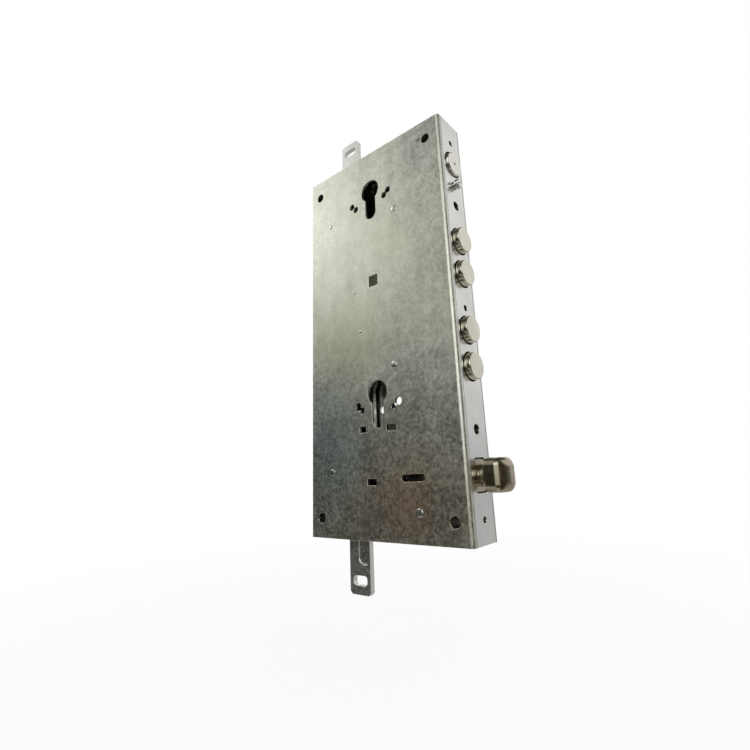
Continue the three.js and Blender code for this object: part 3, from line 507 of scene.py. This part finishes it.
SPRING_STEEL = turned_finish(
    "spring_steel", colour(0.50, 0.50, 0.50), colour(0.36, 0.36, 0.36), Z_AXIS, (0.2, 0.3)
)
FOLLOWER_STEEL = zinc_finish("follower_steel", colour(0.80, 0.80, 0.74), colour(0.64, 0.64, 0.58))

# ---------------------------------------------------------------- case


def through_hole_layers(outer, inner):
    """Holes shared by the cover and the back plate. Overlapping pairs are in separate layers."""
    follower_hole = 8.06 * MM
    follower_roll = 0.08 * MM

    def round_tool(x, z, radius, roll=EDGE_ROLL):
        return rolled(lambda grow: circle(x, z, radius + grow, 64), "Y", outer, inner, roll)

    first = [
        rolled(lambda grow: euro_outline(UPPER_CYLINDER_Z, grow), "Y", outer, inner),
        rolled(lambda grow: euro_outline(LOWER_CYLINDER_Z, grow), "Y", outer, inner),
        round_tool(HANDLE_X, HANDLE_Z, follower_hole, follower_roll),
    ]
    first += [round_tool(centre(tube).x, centre(tube).z, CORNER_HOLE) for tube in CORNER_TUBES]
    second = []
    for holes, cylinder in ((UPPER_SCREW_HOLES, UPPER_CYLINDER_Z), (LOWER_SCREW_HOLES, LOWER_CYLINDER_Z)):
        tools = [round_tool(x * MM, cylinder + dz * MM, radius * MM) for x, dz, radius in holes]
        first += tools[0::2]
        second += tools[1::2]
    return first, second


def post_holes(posts, outer, inner):
    clearance = 0.05 * MM
    tools = []
    for post, spigot in posts.items():
        middle = centre(post)
        radius = spigot + clearance
        tools.append(lathe("Y", middle.x, middle.z, [(outer, radius), (inner, radius)], 40))
    return tools


def window_outline(x, z):
    """The outline of a small window in the cover, for any growth of its edge."""
    width = 8 * MM
    height = 4.3 * MM
    corner = 0.7 * MM
    return lambda grow: rounded(x, z, width + 2 * grow, height + 2 * grow, corner + grow)


def cover_plate():
    inner = COVER_Y + SHEET
    lip = COVER_HIGH.y
    profile = [(REAR, inner), (REAR, COVER_Y)]
    profile += arc(-BEND, lip, BEND, -QUARTER, 0, 14)
    profile += arc(-BEND, lip, BEND - SHEET, 0, -QUARTER, 8)
    bm = soften(prism("Z", profile, FOOT, TOP), 0.3 * MM, 3, 50)
    first, second = through_hole_layers(COVER_Y, inner)
    windows = [
        (-81.2 * MM, LOWER_CYLINDER_Z - 24.7 * MM),
        (-56.2 * MM, LOWER_CYLINDER_Z - 25.2 * MM),
        (-74.8 * MM, LATCH_Z - 2 * MM),
    ]
    first += [rolled(window_outline(x, z), "Y", COVER_Y, inner) for x, z in windows]
    ends = ((-47.2 * MM, LATCH_Z), (-33.4 * MM, LATCH_Z))
    first.append(rolled(lambda grow: slot_outline(*ends, 2.3 * MM + grow), "Y", COVER_Y, inner))
    first += post_holes(SPIGOT_RADIUS, COVER_Y - MM, inner + MM)
    sheet = carve(bm, first, second)
    piece("cover_plate_sheet", sheet, "case", COVER_ZINC, ["cover_plate"])


def back_shell():
    low_y = SHELL_LOW.y
    lip = BACK_Y - BEND
    outer = [(-BEND, low_y), (REAR, low_y)]
    outer += arc(REAR + BEND, BACK_Y - BEND, BEND, math.pi, QUARTER, 12)
    outer += arc(-BEND, lip, BEND, QUARTER, 0, 12)
    outer += [(-BEND, lip)]
    side = [(low_y, FOOT)]
    side += arc(BACK_Y - BEND, FOOT + BEND, BEND, -QUARTER, 0, 12)
    side += arc(BACK_Y - BEND, TOP - BEND, BEND, 0, QUARTER, 12)
    side += [(low_y, TOP)]
    body = common(prism("Z", outer, FOOT, TOP), prism("X", side, REAR - MM, MM))
    inner_bend = BEND - SHEET
    hollow = [(-SHEET, low_y - MM), (REAR + SHEET, low_y - MM)]
    hollow += arc(REAR + BEND, BACK_Y - BEND, inner_bend, math.pi, QUARTER, 8)
    hollow += arc(-BEND, lip, inner_bend, QUARTER, 0, 8)
    inside = [(low_y - 2 * MM, FOOT + SHEET)]
    inside += arc(BACK_Y - BEND, FOOT + BEND, inner_bend, -QUARTER, 0, 8)
    inside += arc(BACK_Y - BEND, TOP - BEND, inner_bend, 0, QUARTER, 8)
    inside += [(low_y - 2 * MM, TOP - SHEET)]
    cavity = common(prism("Z", hollow, FOOT, TOP), prism("X", inside, REAR, MM))
    body = carve(body, [cavity])
    tab_reach = 22.5 * MM
    tab_thick = 3 * MM
    tab_half = 8 * MM
    for low, high in ((TOP - SHEET - tab_reach, TOP - MM), (FOOT + MM, FOOT + SHEET + tab_reach)):
        tab = block((-BEND - tab_thick, -tab_half, low), (-BEND, tab_half, high))
        body = join(body, tab)
    first, second = through_hole_layers(BACK_Y, BACK_Y - SHEET)
    first += post_holes(THROUGH_SPIGOTS, BACK_Y - SHEET - MM, BACK_Y + MM)
    for node, radius in (("pinion_axle", 3.05 * MM), ("link_spring_peg", 1.55 * MM)):
        middle = centre(node)
        first.append(lathe("Y", middle.x, middle.z, [(BACK_Y - 3 * MM, radius), (BACK_Y + MM, radius)], 40))
    gap = rounded(ROD_X, 0, 20 * MM, 4.8 * MM, 1.2 * MM)
    second.append(prism("Z", gap, FOOT - MM, FOOT + SHEET + MM))
    second.append(prism("Z", gap, TOP - SHEET - MM, TOP + MM))
    tapped = 1.6 * MM
    for z in (FACE_SCREWS[0], FACE_SCREWS[-1]):
        second.append(lathe("X", 0, z, [(-8 * MM, tapped), (-2 * MM, tapped)], 32))
    body = carve(body, first, second)
    piece("back_shell_case", body, "case", SHELL_ZINC, ["back_shell"])


def latch_hole(grow):
    half_width = 8.8 * MM + grow
    half_height = 10.4 * MM + grow
    return rounded(0, LATCH_Z, 2 * half_width, 2 * half_height, 5 * MM + grow, 10)


def faceplate():
    bm = soften(block(FACE_LOW, FACE_HIGH), 0.6 * MM, 4)
    outer = FACE_HIGH.x
    inner = FACE_LOW.x
    bolt_hole = 9.8 * MM
    bolt_roll = 0.3 * MM
    screw_roll = 0.5 * MM

    def round_hole(z, radius, roll, steps=72):
        return rolled(lambda grow: circle(0, z, radius + grow, steps), "X", outer, inner, roll)

    tools = [round_hole(centre(f"deadbolt_{number}").z, bolt_hole, bolt_roll) for number in DEADBOLTS]
    tools.append(round_hole(centre("service_bolt").z, bolt_hole, bolt_roll))
    tools.append(round_hole(centre("cylinder_fixing_screw").z, 2.9 * MM, bolt_roll, 40))
    tools += [round_hole(z, 2 * MM, screw_roll, 32) for z in FACE_SCREWS]
    tools += [round_hole(z, 3.2 * MM, screw_roll, 40) for z in DOOR_SCREWS]
    tools.append(rolled(latch_hole, "X", outer, inner, bolt_roll))
    piece("faceplate_strip", carve(bm, tools), "case", FACE_STEEL, ["faceplate"])


def corner_tubes():
    for tube in CORNER_TUBES:
        low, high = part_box(tube)
        middle = centre(tube)
        outer = (high.x - low.x) / 2
        ease = 0.4 * MM
        profile = [(low.y, outer - ease), (low.y + ease, outer)]
        profile += [(high.y - ease, outer), (high.y, outer - ease)]
        body = lathe("Y", middle.x, middle.z, profile)
        bore = lathe("Y", middle.x, middle.z, [(low.y - MM, CORNER_HOLE), (high.y + MM, CORNER_HOLE)])
        piece(tube + "_turned", carve(body, [bore]), "case", DARK_STEEL, [tube])


def domed_end(level, radius, outward):
    """The last steps of a turned profile that ends in a low dome with a small flat."""
    steps = 5
    rise = 0.3 * MM
    flat = 0.12
    points = []
    for step in range(steps + 1):
        turn = QUARTER * step / steps
        height = level - outward * rise * (1 - math.sin(turn))
        points.append((height, radius * max(math.cos(turn), flat)))
    return points


def peened_posts():
    for post, spigot in SPIGOT_RADIUS.items():
        low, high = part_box(post)
        middle = centre(post)
        body = (high.x - low.x) / 2
        shoulder = COVER_Y + SHEET
        profile = list(reversed(domed_end(low.y, spigot, -1)))
        profile += [(shoulder, spigot), (shoulder, body)]
        if post in THROUGH_SPIGOTS:
            far = BACK_Y - SHEET
            profile += [(far, body), (far, spigot), (high.y, spigot)]
        else:
            profile += [(high.y - 0.3 * MM, body), (high.y, body - 0.3 * MM)]
        bm = lathe("Y", middle.x, middle.z, profile, 48)
        piece(post + "_turned", bm, "case", BRIGHT_STEEL, [post])


def fixing_screw():
    low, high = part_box("cylinder_fixing_screw")
    middle = centre("cylinder_fixing_screw")
    head = (high.y - low.y) / 2
    shank = 2.4 * MM
    neck = 1.7 * MM
    profile = [(low.x, shank - 0.6 * MM), (low.x + MM, shank), (neck, shank), (neck, head - 0.2 * MM)]
    profile += [(neck + 0.2 * MM, head), (high.x - 0.9 * MM, head)]
    profile += [(high.x - 0.3 * MM, head - 0.4 * MM), (high.x, head - 1.3 * MM)]
    slot_half = 0.5 * MM
    slot_floor = high.x - 1.4 * MM
    slot = block((slot_floor, -5 * MM, middle.z - slot_half), (high.x + MM, 5 * MM, middle.z + slot_half))
    spin = Matrix.Rotation(math.radians(25), 4, "X")
    turn = Matrix.Translation(middle) @ spin @ Matrix.Translation(-middle)
    bmesh.ops.transform(slot, matrix=turn, verts=slot.verts)
    bm = carve(lathe("X", 0, middle.z, profile, 56), [slot])
    piece("cylinder_fixing_screw_turned", bm, "case", BRIGHT_STEEL, ["cylinder_fixing_screw"])


# ---------------------------------------------------------------- bolts


def pin_hole(pin, radius, reach):
    """A cutter for the cross hole of a rivet."""
    middle = centre(pin)
    return lathe("Y", middle.x, middle.z, [(-reach, radius), (reach, radius)], 32)


def round_bolt(node, body, plate, rivet, finish):
    """A round bolt with a rounded nose, a slot for its driving plate and a rivet hole."""
    low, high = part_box(node)
    middle = centre(node)
    radius = (high.z - low.z) / 2
    ease = 0.9 * MM
    chamfer = 0.6 * MM
    profile = [(low.x, radius - chamfer), (low.x + chamfer, radius)]
    profile += arc(high.x - ease, radius - ease, ease, QUARTER, 0, 6)
    bm = lathe("X", 0, middle.z, profile, 96)
    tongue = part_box(plate)[1].x + 0.4 * MM
    slot = block((low.x - MM, -PLATE_SLOT_HALF, low.z - MM), (tongue, PLATE_SLOT_HALF, high.z + MM))
    hole = pin_hole(rivet, 2.1 * MM, 20 * MM)
    tools = [slot]
    if node == "service_bolt":
        tools.append(lathe("X", 0, middle.z, [(high.x - MM, 0.2 * MM), (high.x + MM, 2.2 * MM)], 32))
    bm = carve(bm, tools, [hole])
    piece(node + "_turned", bm, body, finish, [node])


def rivet_pin(node, body):
    low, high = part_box(node)
    middle = centre(node)
    radius = (high.x - low.x) / 2
    profile = list(reversed(domed_end(low.y, radius, -1))) + domed_end(high.y, radius, 1)
    bm = lathe("Y", middle.x, middle.z, profile, 32)
    piece(node + "_turned", bm, body, BRIGHT_STEEL, [node])


# The arcs of the latch's ramp: each one's last heading in degrees and its radius in mm.
LATCH_RAMP = ((12, 4), (42, 5.5), (58, 23), (90, 4))


def ramp_points(start, side):
    """The latch's ramp in plan: four arcs that turn it from the flat side to the nose."""
    points = [(start, side)]
    turned = 0
    for until, radius in LATCH_RAMP:
        x, y = points[-1]
        first = math.radians(turned)
        steps = math.ceil((until - turned) / 3)
        for step in range(1, steps + 1):
            angle = math.radians(turned + (until - turned) * step / steps)
            points.append((
                x + radius * MM * (math.sin(angle) - math.sin(first)),
                y + radius * MM * (math.cos(first) - math.cos(angle)),
            ))
        turned = until
    return points


def latch_head(back):
    """The latch's head: a flat side, then a ramp that turns to the nose, with a rounded far corner."""
    half_width = 8.4 * MM
    half_height = 10 * MM
    corner = 4.6 * MM
    rounding = 5.5 * MM
    nose_flat = 1.5 * MM
    ease = 0.5 * MM
    ramp = ramp_points(12.4 * MM, -half_width)
    nose, nose_side = ramp[-1]
    far_corner = half_width - nose_side - nose_flat
    stations = [(back + ease * (1 - math.cos(turn)), -half_width) for turn in (0, 0.4, 0.8, 1.2, QUARTER)]
    rings = []
    for x, side in stations + ramp:
        over = max(0, x - (nose - rounding))
        drop = rounding - math.sqrt(max(0, rounding ** 2 - over ** 2))
        past = min(far_corner, max(0, x - (nose - far_corner)))
        far = half_width - far_corner + math.sqrt(far_corner ** 2 - past ** 2)
        shrink = 0
        if x < back + ease:
            shrink = ease - math.sqrt(max(0, ease ** 2 - (back + ease - x) ** 2))
        width = far - side - 2 * shrink
        height = 2 * (half_height - drop - shrink)
        radius = min(corner, width / 2 - 0.05 * MM)
        rings.append(place("X", rounded((far + side) / 2, LATCH_Z, width, height, radius, 10), x))
    return loft(rings)


def latch_collar():
    """The plate behind the head that fills the faceplate's hole."""
    rings = []
    for x, inset in ((-1.7, 0.3), (-1.4, 0), (-0.9, 0), (-0.5, 0.4)):
        width = 2 * (8.2 - inset) * MM
        height = 2 * (9.8 - inset) * MM
        rings.append(place("X", rounded(0, LATCH_Z, width, height, (4.4 - inset) * MM, 10), x * MM))
    return loft(rings)


def latch_bolt():
    """The latch: its head, the collar behind it, a turned neck, and a slotted rear end."""
    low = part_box("latch_bolt")[0]
    back = 6.5 * MM
    neck = 6.75 * MM
    flare = 2.3 * MM
    groove = neck - 0.5 * MM
    profile = [(low.x, groove), (low.x + 0.5 * MM, neck), (2.4 * MM, neck)]
    profile += [(2.6 * MM, groove), (3.1 * MM, groove), (3.3 * MM, neck)]
    profile += [(4.3 * MM + flare * t, neck + 1.0 * MM * t ** 2) for t in (0, 0.25, 0.5, 0.75, 1)]
    profile += [(back + MM, neck + MM)]
    bm = join(join(latch_head(back), lathe("X", 0, LATCH_Z, profile, 96)), latch_collar())
    slot_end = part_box("latch_tail")[1].x + 0.3 * MM
    slot_reach = 9 * MM
    slot = block(
        (low.x - MM, -PLATE_SLOT_HALF, LATCH_Z - slot_reach),
        (slot_end, PLATE_SLOT_HALF, LATCH_Z + slot_reach),
    )
    bm = carve(bm, [slot], [pin_hole("latch_tail_rivet", 1.6 * MM, 12 * MM)])
    piece("latch_bolt_turned", bm, "latch", LATCH_NICKEL, ["latch_bolt"])


def strap_groove(rod_low):
    """The pressed groove on the bottom strap: down, then round towards the front."""
    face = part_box("bottom_rod")[0].y
    radius = 1.1 * MM
    bend = 4 * MM
    sides = 20
    outward = Vector((0, -1, 0))
    x = ROD_X - 0.25 * MM
    turn_z = rod_low + 24 * MM
    path = [(x, FOOT + 6 * MM)]
    path += arc(x + bend, turn_z, bend, math.pi, math.pi + QUARTER, 8)
    path += [(x + bend + 3.5 * MM, turn_z - bend)]
    rings = []
    for index, (u, v) in enumerate(path):
        before = path[max(index - 1, 0)]
        after = path[min(index + 1, len(path) - 1)]
        way = Vector((after[0] - before[0], 0, after[1] - before[1])).normalized()
        across = Vector((way.z, 0, -way.x))
        middle = Vector((u, face - 0.45 * MM, v))
        ring = []
        for k in range(sides):
            turn = 2 * math.pi * k / sides
            ring.append(middle + radius * (across * math.cos(turn) + outward * math.sin(turn)))
        rings.append(ring)
    return loft(rings)


def rods():
    for node, body in (("top_rod", "upper_rod"), ("bottom_rod", "lower_rod")):
        bm = soften(refined(node), 0.35 * MM, 2, 25)
        if node == "bottom_rod":
            bm = carve(bm, [strap_groove(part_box(node)[0].z)])
        piece(node + "_strap", bm, body, ROD_ZINC, [node])


# ---------------------------------------------------------------- inner works


def follower():
    """The follower: a hub with a square hole, and an arm with a round knob on its tip."""
    low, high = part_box("handle_follower")
    hub = HUB_RADIUS
    journal = 8 * MM
    inner = 12.85 * MM
    ease = 0.1 * MM
    profile = [
        (low.y, journal - ease), (low.y + ease, journal), (-inner, journal), (-inner, hub - ease),
        (-inner + ease, hub), (inner - ease, hub), (inner, hub - ease), (inner, journal),
        (high.y - ease, journal), (high.y, journal - ease),
    ]
    bm = lathe("Y", HANDLE_X, HANDLE_Z, profile, 96)
    angle = math.radians(180 - 22.5)
    arm = 13 * MM
    tip = (HANDLE_X + arm * math.cos(angle), HANDLE_Z + arm * math.sin(angle))
    layer = (7.5 * MM, 10.5 * MM)
    shank = prism("Y", slot_outline((HANDLE_X, HANDLE_Z), tip, 2.1 * MM), *layer)
    knob = prism("Y", circle(*tip, 3 * MM, 48), *layer)
    bm = join(join(bm, shank), knob)
    spindle = 8.5 * MM

    def square(grow):
        side = spindle + 2 * grow
        return rounded(HANDLE_X, HANDLE_Z, side, side, 0.5 * MM + grow, 4)

    bm = carve(bm, [rolled(square, "Y", low.y, high.y, 0.4 * MM)])
    piece("handle_follower_turned", bm, "follower", FOLLOWER_STEEL, ["handle_follower"])


def coil(axis, u, v, low, high, turns, radius, wire):
    """A wire coil along an axis, from low to high."""
    steps = turns * 28
    sides = 12
    rings = []
    for step in range(steps + 1):
        share = step / steps
        angle = 2 * math.pi * turns * share
        level = low + wire + (high - low - 2 * wire) * share
        out = (math.cos(angle), math.sin(angle))
        ring = []
        for k in range(sides):
            turn = 2 * math.pi * k / sides
            reach = radius + wire * math.cos(turn)
            ring.append((u + reach * out[0], v + reach * out[1], level + wire * math.sin(turn)))
        if axis == "X":
            ring = [(w, a, b) for a, b, w in ring]
        rings.append(ring)
    return loft(rings)


def springs():
    low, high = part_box("link_spring")
    middle = centre("link_spring")
    bm = coil("Z", middle.x, middle.y, low.z, high.z, 11, 2.5 * MM, 0.45 * MM)
    link_spring = piece("link_spring_coil", bm, "case", SPRING_STEEL, ["link_spring"])
    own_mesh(link_spring)
    low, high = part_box("latch_spring")
    bm = coil("X", 0, LATCH_Z, low.x, high.x, 10, 3.4 * MM, 0.5 * MM)
    latch_spring = piece("latch_spring_coil", bm, "case", SPRING_STEEL, ["latch_spring"])
    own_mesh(latch_spring)


def softened_nodes():
    """Flat inner pieces keep their CAD shape, with rounded edges."""
    plates = [
        ("deadbolt_guide", "case", "inner_steel", DARK_STEEL),
        ("service_bolt_guide", "case", "inner_steel", DARK_STEEL),
        ("latch_guide", "case", "inner_steel", DARK_STEEL),
        ("latch_spring_bracket", "case", "inner_steel", DARK_STEEL),
        ("axle_clip", "case", "spring_steel", SPRING_STEEL),
        ("carriage_plate", "bolt_carriage", "inner_steel", DARK_STEEL),
        ("drive_rack", "bolt_carriage", "inner_steel", DARK_STEEL),
        ("rod_pinion", "pinion", "inner_steel", DARK_STEEL),
        ("service_plate", "service", "inner_steel", DARK_STEEL),
        ("latch_link", "link", "rod_zinc", ROD_ZINC),
        ("latch_crank", "crank", "inner_steel", DARK_STEEL),
        ("latch_tail", "latch", "inner_steel", DARK_STEEL),
    ]
    for node, body, slot, material in plates:
        bm = soften(refined(node), 0.2 * MM, 2, 25)
        piece(node + "_pressed", bm, body, material, [node])


def turned_pins():
    for number in DEADBOLTS:
        rivet_pin(f"deadbolt_rivet_{number}", "bolt_carriage")
    rivet_pin("service_rivet", "service")
    rivet_pin("link_pin", "link")
    rivet_pin("latch_tail_rivet", "latch")
    rivet_pin("latch_drive_pin", "latch")


def remaining_nodes():
    """Small hidden turned parts keep the CAD node, with a finish and rounded edges."""
    edge_width = 0.15 * MM
    kept = {
        "pinion_axle": DARK_STEEL,
        "link_spring_peg": BRIGHT_STEEL,
        "spring_guide_rod": BRIGHT_STEEL,
        "rack_rivet_1": BRIGHT_STEEL,
        "rack_rivet_2": BRIGHT_STEEL,
    }
    for node, material in kept.items():
        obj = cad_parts[node]
        obj.data.materials.clear()
        obj.data.materials.append(material)
        weld = obj.modifiers.new("weld", "WELD")
        weld.merge_threshold = 0.001 * MM
        bevel = obj.modifiers.new("edges", "BEVEL")
        bevel.width = edge_width
        bevel.segments = 2


cover_plate()
back_shell()
faceplate()
corner_tubes()
peened_posts()
fixing_screw()
for number in DEADBOLTS:
    round_bolt(f"deadbolt_{number}", "bolt_carriage", "carriage_plate", f"deadbolt_rivet_{number}", NICKEL)
round_bolt("service_bolt", "service", "service_plate", "service_rivet", PALE_NICKEL)
latch_bolt()
rods()
follower()
springs()
softened_nodes()
turned_pins()
remaining_nodes()

# ---------------------------------------------------------------- studio

# The room that reflections see: light by the height of its direction, from -1 down to 1 up.
LEFT_SKY = (
    (-1, (0.55, 0.54, 0.51)),
    (-0.46, (0.46, 0.455, 0.43)),
    (-0.29, (0.07, 0.068, 0.06)),
    (-0.16, (0.036, 0.034, 0.029)),
    (0, (0.037, 0.038, 0.033)),
    (0.10, (0.056, 0.060, 0.054)),
    (0.18, (0.103, 0.109, 0.098)),
    (0.27, (0.30, 0.31, 0.27)),
    (0.36, (1.10, 1.12, 1.05)),
    (0.45, (1.72, 1.76, 1.64)),
    (0.66, (1.72, 1.76, 1.64)),
    (0.80, (0.30, 0.29, 0.26)),
    (1, (0.12, 0.11, 0.10)),
)
MIDDLE_SKY = (
    (-1, (0.50, 0.485, 0.45)),
    (-0.46, (0.42, 0.41, 0.38)),
    (-0.29, (0.07, 0.065, 0.055)),
    (-0.16, (0.031, 0.028, 0.022)),
    (0, (0.020, 0.018, 0.014)),
    (0.10, (0.036, 0.035, 0.030)),
    (0.20, (0.165, 0.165, 0.143)),
    (0.30, (0.40, 0.40, 0.36)),
    (0.40, (0.43, 0.43, 0.375)),
    (0.50, (0.26, 0.26, 0.23)),
    (0.60, (0.125, 0.125, 0.11)),
    (0.80, (0.10, 0.10, 0.09)),
    (1, (0.10, 0.10, 0.09)),
)
WINDOW_SKY = (
    (-1, (0.55, 0.53, 0.48)),
    (-0.80, (0.55, 0.53, 0.48)),
    (-0.64, (0.05, 0.04, 0.025)),
    (-0.20, (0.05, 0.04, 0.025)),
    (-0.11, (0.25, 0.25, 0.22)),
    (-0.05, (0.50, 0.50, 0.45)),
    (0.06, (1.25, 1.28, 1.18)),
    (0.24, (1.8, 1.85, 1.74)),
    (0.42, (1.8, 1.85, 1.74)),
    (0.54, (1.05, 1.05, 0.97)),
    (0.66, (0.80, 0.80, 0.74)),
    (0.74, (0.12, 0.115, 0.10)),
    (1, (0.05, 0.05, 0.045)),
)
CORNER_SKY = (
    (-1, (0.045, 0.038, 0.028)),
    (1, (0.045, 0.038, 0.028)),
)
FACE_SKY = (
    (-1, (0.60, 0.58, 0.52)),
    (-0.6, (0.46, 0.45, 0.41)),
    (-0.13, (0.50, 0.505, 0.50)),
    (0.05, (0.60, 0.605, 0.60)),
    (0.14, (0.76, 0.76, 0.75)),
    (0.5, (0.84, 0.835, 0.82)),
    (0.64, (0.90, 0.89, 0.865)),
    (0.72, (0.20, 0.19, 0.17)),
    (1, (0.05, 0.047, 0.04)),
)
# Each part of the room by compass degrees from -Y towards +X, with its share at each of them.
ROOM = (
    (MIDDLE_SKY, ((-45, 0), (-40, 1), (-16, 1), (-8, 0))),
    (WINDOW_SKY, ((-10, 0), (-2, 1), (46, 1), (58, 0))),
    (CORNER_SKY, ((46, 0), (58, 1), (80, 1), (104, 0))),
    (FACE_SKY, ((-179, 1), (-140, 0), (80, 0), (104, 1))),
)


def colour_ramp(tree, value, stops):
    made = tree.nodes.new("ShaderNodeValToRGB")
    elements = made.color_ramp.elements
    while len(elements) < len(stops):
        elements.new(0.5)
    for element, (place_at, shade) in zip(elements, stops):
        element.position = place_at
        element.color = (*shade, 1)
    tree.links.new(value, made.inputs["Fac"])
    return made.outputs["Color"]


def sky_by_height(tree, level, stops):
    return colour_ramp(tree, level, [((height + 1) / 2, shade) for height, shade in stops])


def compass_share(tree, turn, stops):
    return colour_ramp(tree, turn, [(0.5 + degrees / 360, (share,) * 3) for degrees, share in stops])


def to_unit(tree, value, low, high):
    """The value mapped from low..high to 0..1."""
    made = tree.nodes.new("ShaderNodeMapRange")
    tree.links.new(value, made.inputs["Value"])
    made.inputs["From Min"].default_value = low
    made.inputs["From Max"].default_value = high
    return made.outputs["Result"]


def compass_of(tree, split):
    """The angle of a direction round the Z axis, from -Y towards +X."""
    flip = tree.nodes.new("ShaderNodeMath")
    flip.operation = "MULTIPLY"
    flip.inputs[1].default_value = -1
    tree.links.new(split.outputs["Y"], flip.inputs[0])
    angle = tree.nodes.new("ShaderNodeMath")
    angle.operation = "ARCTAN2"
    tree.links.new(split.outputs["X"], angle.inputs[0])
    tree.links.new(flip.outputs[0], angle.inputs[1])
    return angle.outputs[0]


def world_light():
    """White to the camera. Reflections see the room."""
    world = bpy.data.worlds.new("studio")
    bpy.context.scene.world = world
    world.use_nodes = True
    tree = world.node_tree
    tree.nodes.clear()
    node = tree.nodes.new
    link = tree.links.new
    split = node("ShaderNodeSeparateXYZ")
    link(node("ShaderNodeTexCoord").outputs["Generated"], split.inputs[0])
    level = to_unit(tree, split.outputs["Z"], -1, 1)
    turn = to_unit(tree, compass_of(tree, split), -math.pi, math.pi)
    sky = sky_by_height(tree, level, LEFT_SKY)
    for heights, compass in ROOM:
        over = node("ShaderNodeMix")
        over.data_type = "RGBA"
        link(compass_share(tree, turn, compass), over.inputs["Factor"])
        link(sky, over.inputs["A"])
        link(sky_by_height(tree, level, heights), over.inputs["B"])
        sky = over.outputs["Result"]
    room = node("ShaderNodeBackground")
    link(sky, room.inputs["Color"])
    backdrop = node("ShaderNodeBackground")
    backdrop.inputs["Color"].default_value = (1, 1, 1, 1)
    choose = node("ShaderNodeMixShader")
    link(node("ShaderNodeLightPath").outputs["Is Camera Ray"], choose.inputs[0])
    link(room.outputs[0], choose.inputs[1])
    link(backdrop.outputs[0], choose.inputs[2])
    output = node("ShaderNodeOutputWorld")
    link(choose.outputs[0], output.inputs["Surface"])


FLOOR_RADIUS = 0.9
# The distances from the floor's middle between which it fades out.
FLOOR_FADE = (0.05, 0.5)


def floor():
    """A pale floor, under the bottom rod's lowest throw, that fades into the white backdrop."""
    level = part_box("bottom_rod")[0].z - ROD_THROW - MM
    bm = bmesh.new()
    bmesh.ops.create_circle(bm, cap_ends=True, segments=96, radius=FLOOR_RADIUS)
    mesh = bpy.data.meshes.new("floor")
    bm.to_mesh(mesh)
    bm.free()
    obj = bpy.data.objects.new("floor", mesh)
    obj.location = (ROD_X, 0, level)
    bpy.context.scene.collection.objects.link(obj)
    obj.visible_glossy = False
    obj.visible_diffuse = False
    g = Graph("floor")
    length = g.node("ShaderNodeVectorMath", operation="LENGTH")
    g.feed(length.inputs[0], g.point)
    fade = g.span(length.outputs["Value"], *FLOOR_FADE, 0, 1)
    matte = g.node("ShaderNodeBsdfDiffuse")
    matte.inputs["Color"].default_value = (0.9, 0.9, 0.9, 1)
    clear = g.node("ShaderNodeBsdfTransparent")
    glow = g.node("ShaderNodeEmission")
    glow.inputs["Strength"].default_value = 0.99
    pale = g.node("ShaderNodeMixShader")
    g.feed(pale.inputs[0], 0.93)
    g.feed(pale.inputs[1], matte.outputs[0])
    g.feed(pale.inputs[2], glow.outputs[0])
    blend = g.node("ShaderNodeMixShader")
    g.feed(blend.inputs[0], fade)
    g.feed(blend.inputs[1], pale.outputs[0])
    g.feed(blend.inputs[2], clear.outputs[0])
    output = g.node("ShaderNodeOutputMaterial")
    g.feed(output.inputs["Surface"], blend.outputs[0])
    mesh.materials.append(g.material)


def camera():
    """A wide lens, low and in front of the faceplate's edge, looking up at the cover."""
    right = Vector((0.77620, 0.62891, -0.04469)).normalized()
    back = Vector((0.59875, -0.75747, -0.26028)).normalized()
    up = back.cross(right).normalized()
    right = up.cross(back).normalized()
    data = bpy.data.cameras.new("view")
    data.sensor_width = 36
    data.lens = 21.87
    data.shift_x = -0.022
    data.shift_y = -0.037
    data.clip_start = 0.01
    obj = bpy.data.objects.new("view", data)
    bpy.context.scene.collection.objects.link(obj)
    turn = Matrix((right, up, back)).transposed().to_4x4()
    obj.matrix_world = Matrix.Translation((0.1385, -0.2568, -0.1067)) @ turn
    bpy.context.scene.camera = obj


world_light()
floor()
camera()
bpy.context.scene.view_settings.view_transform = "Standard"
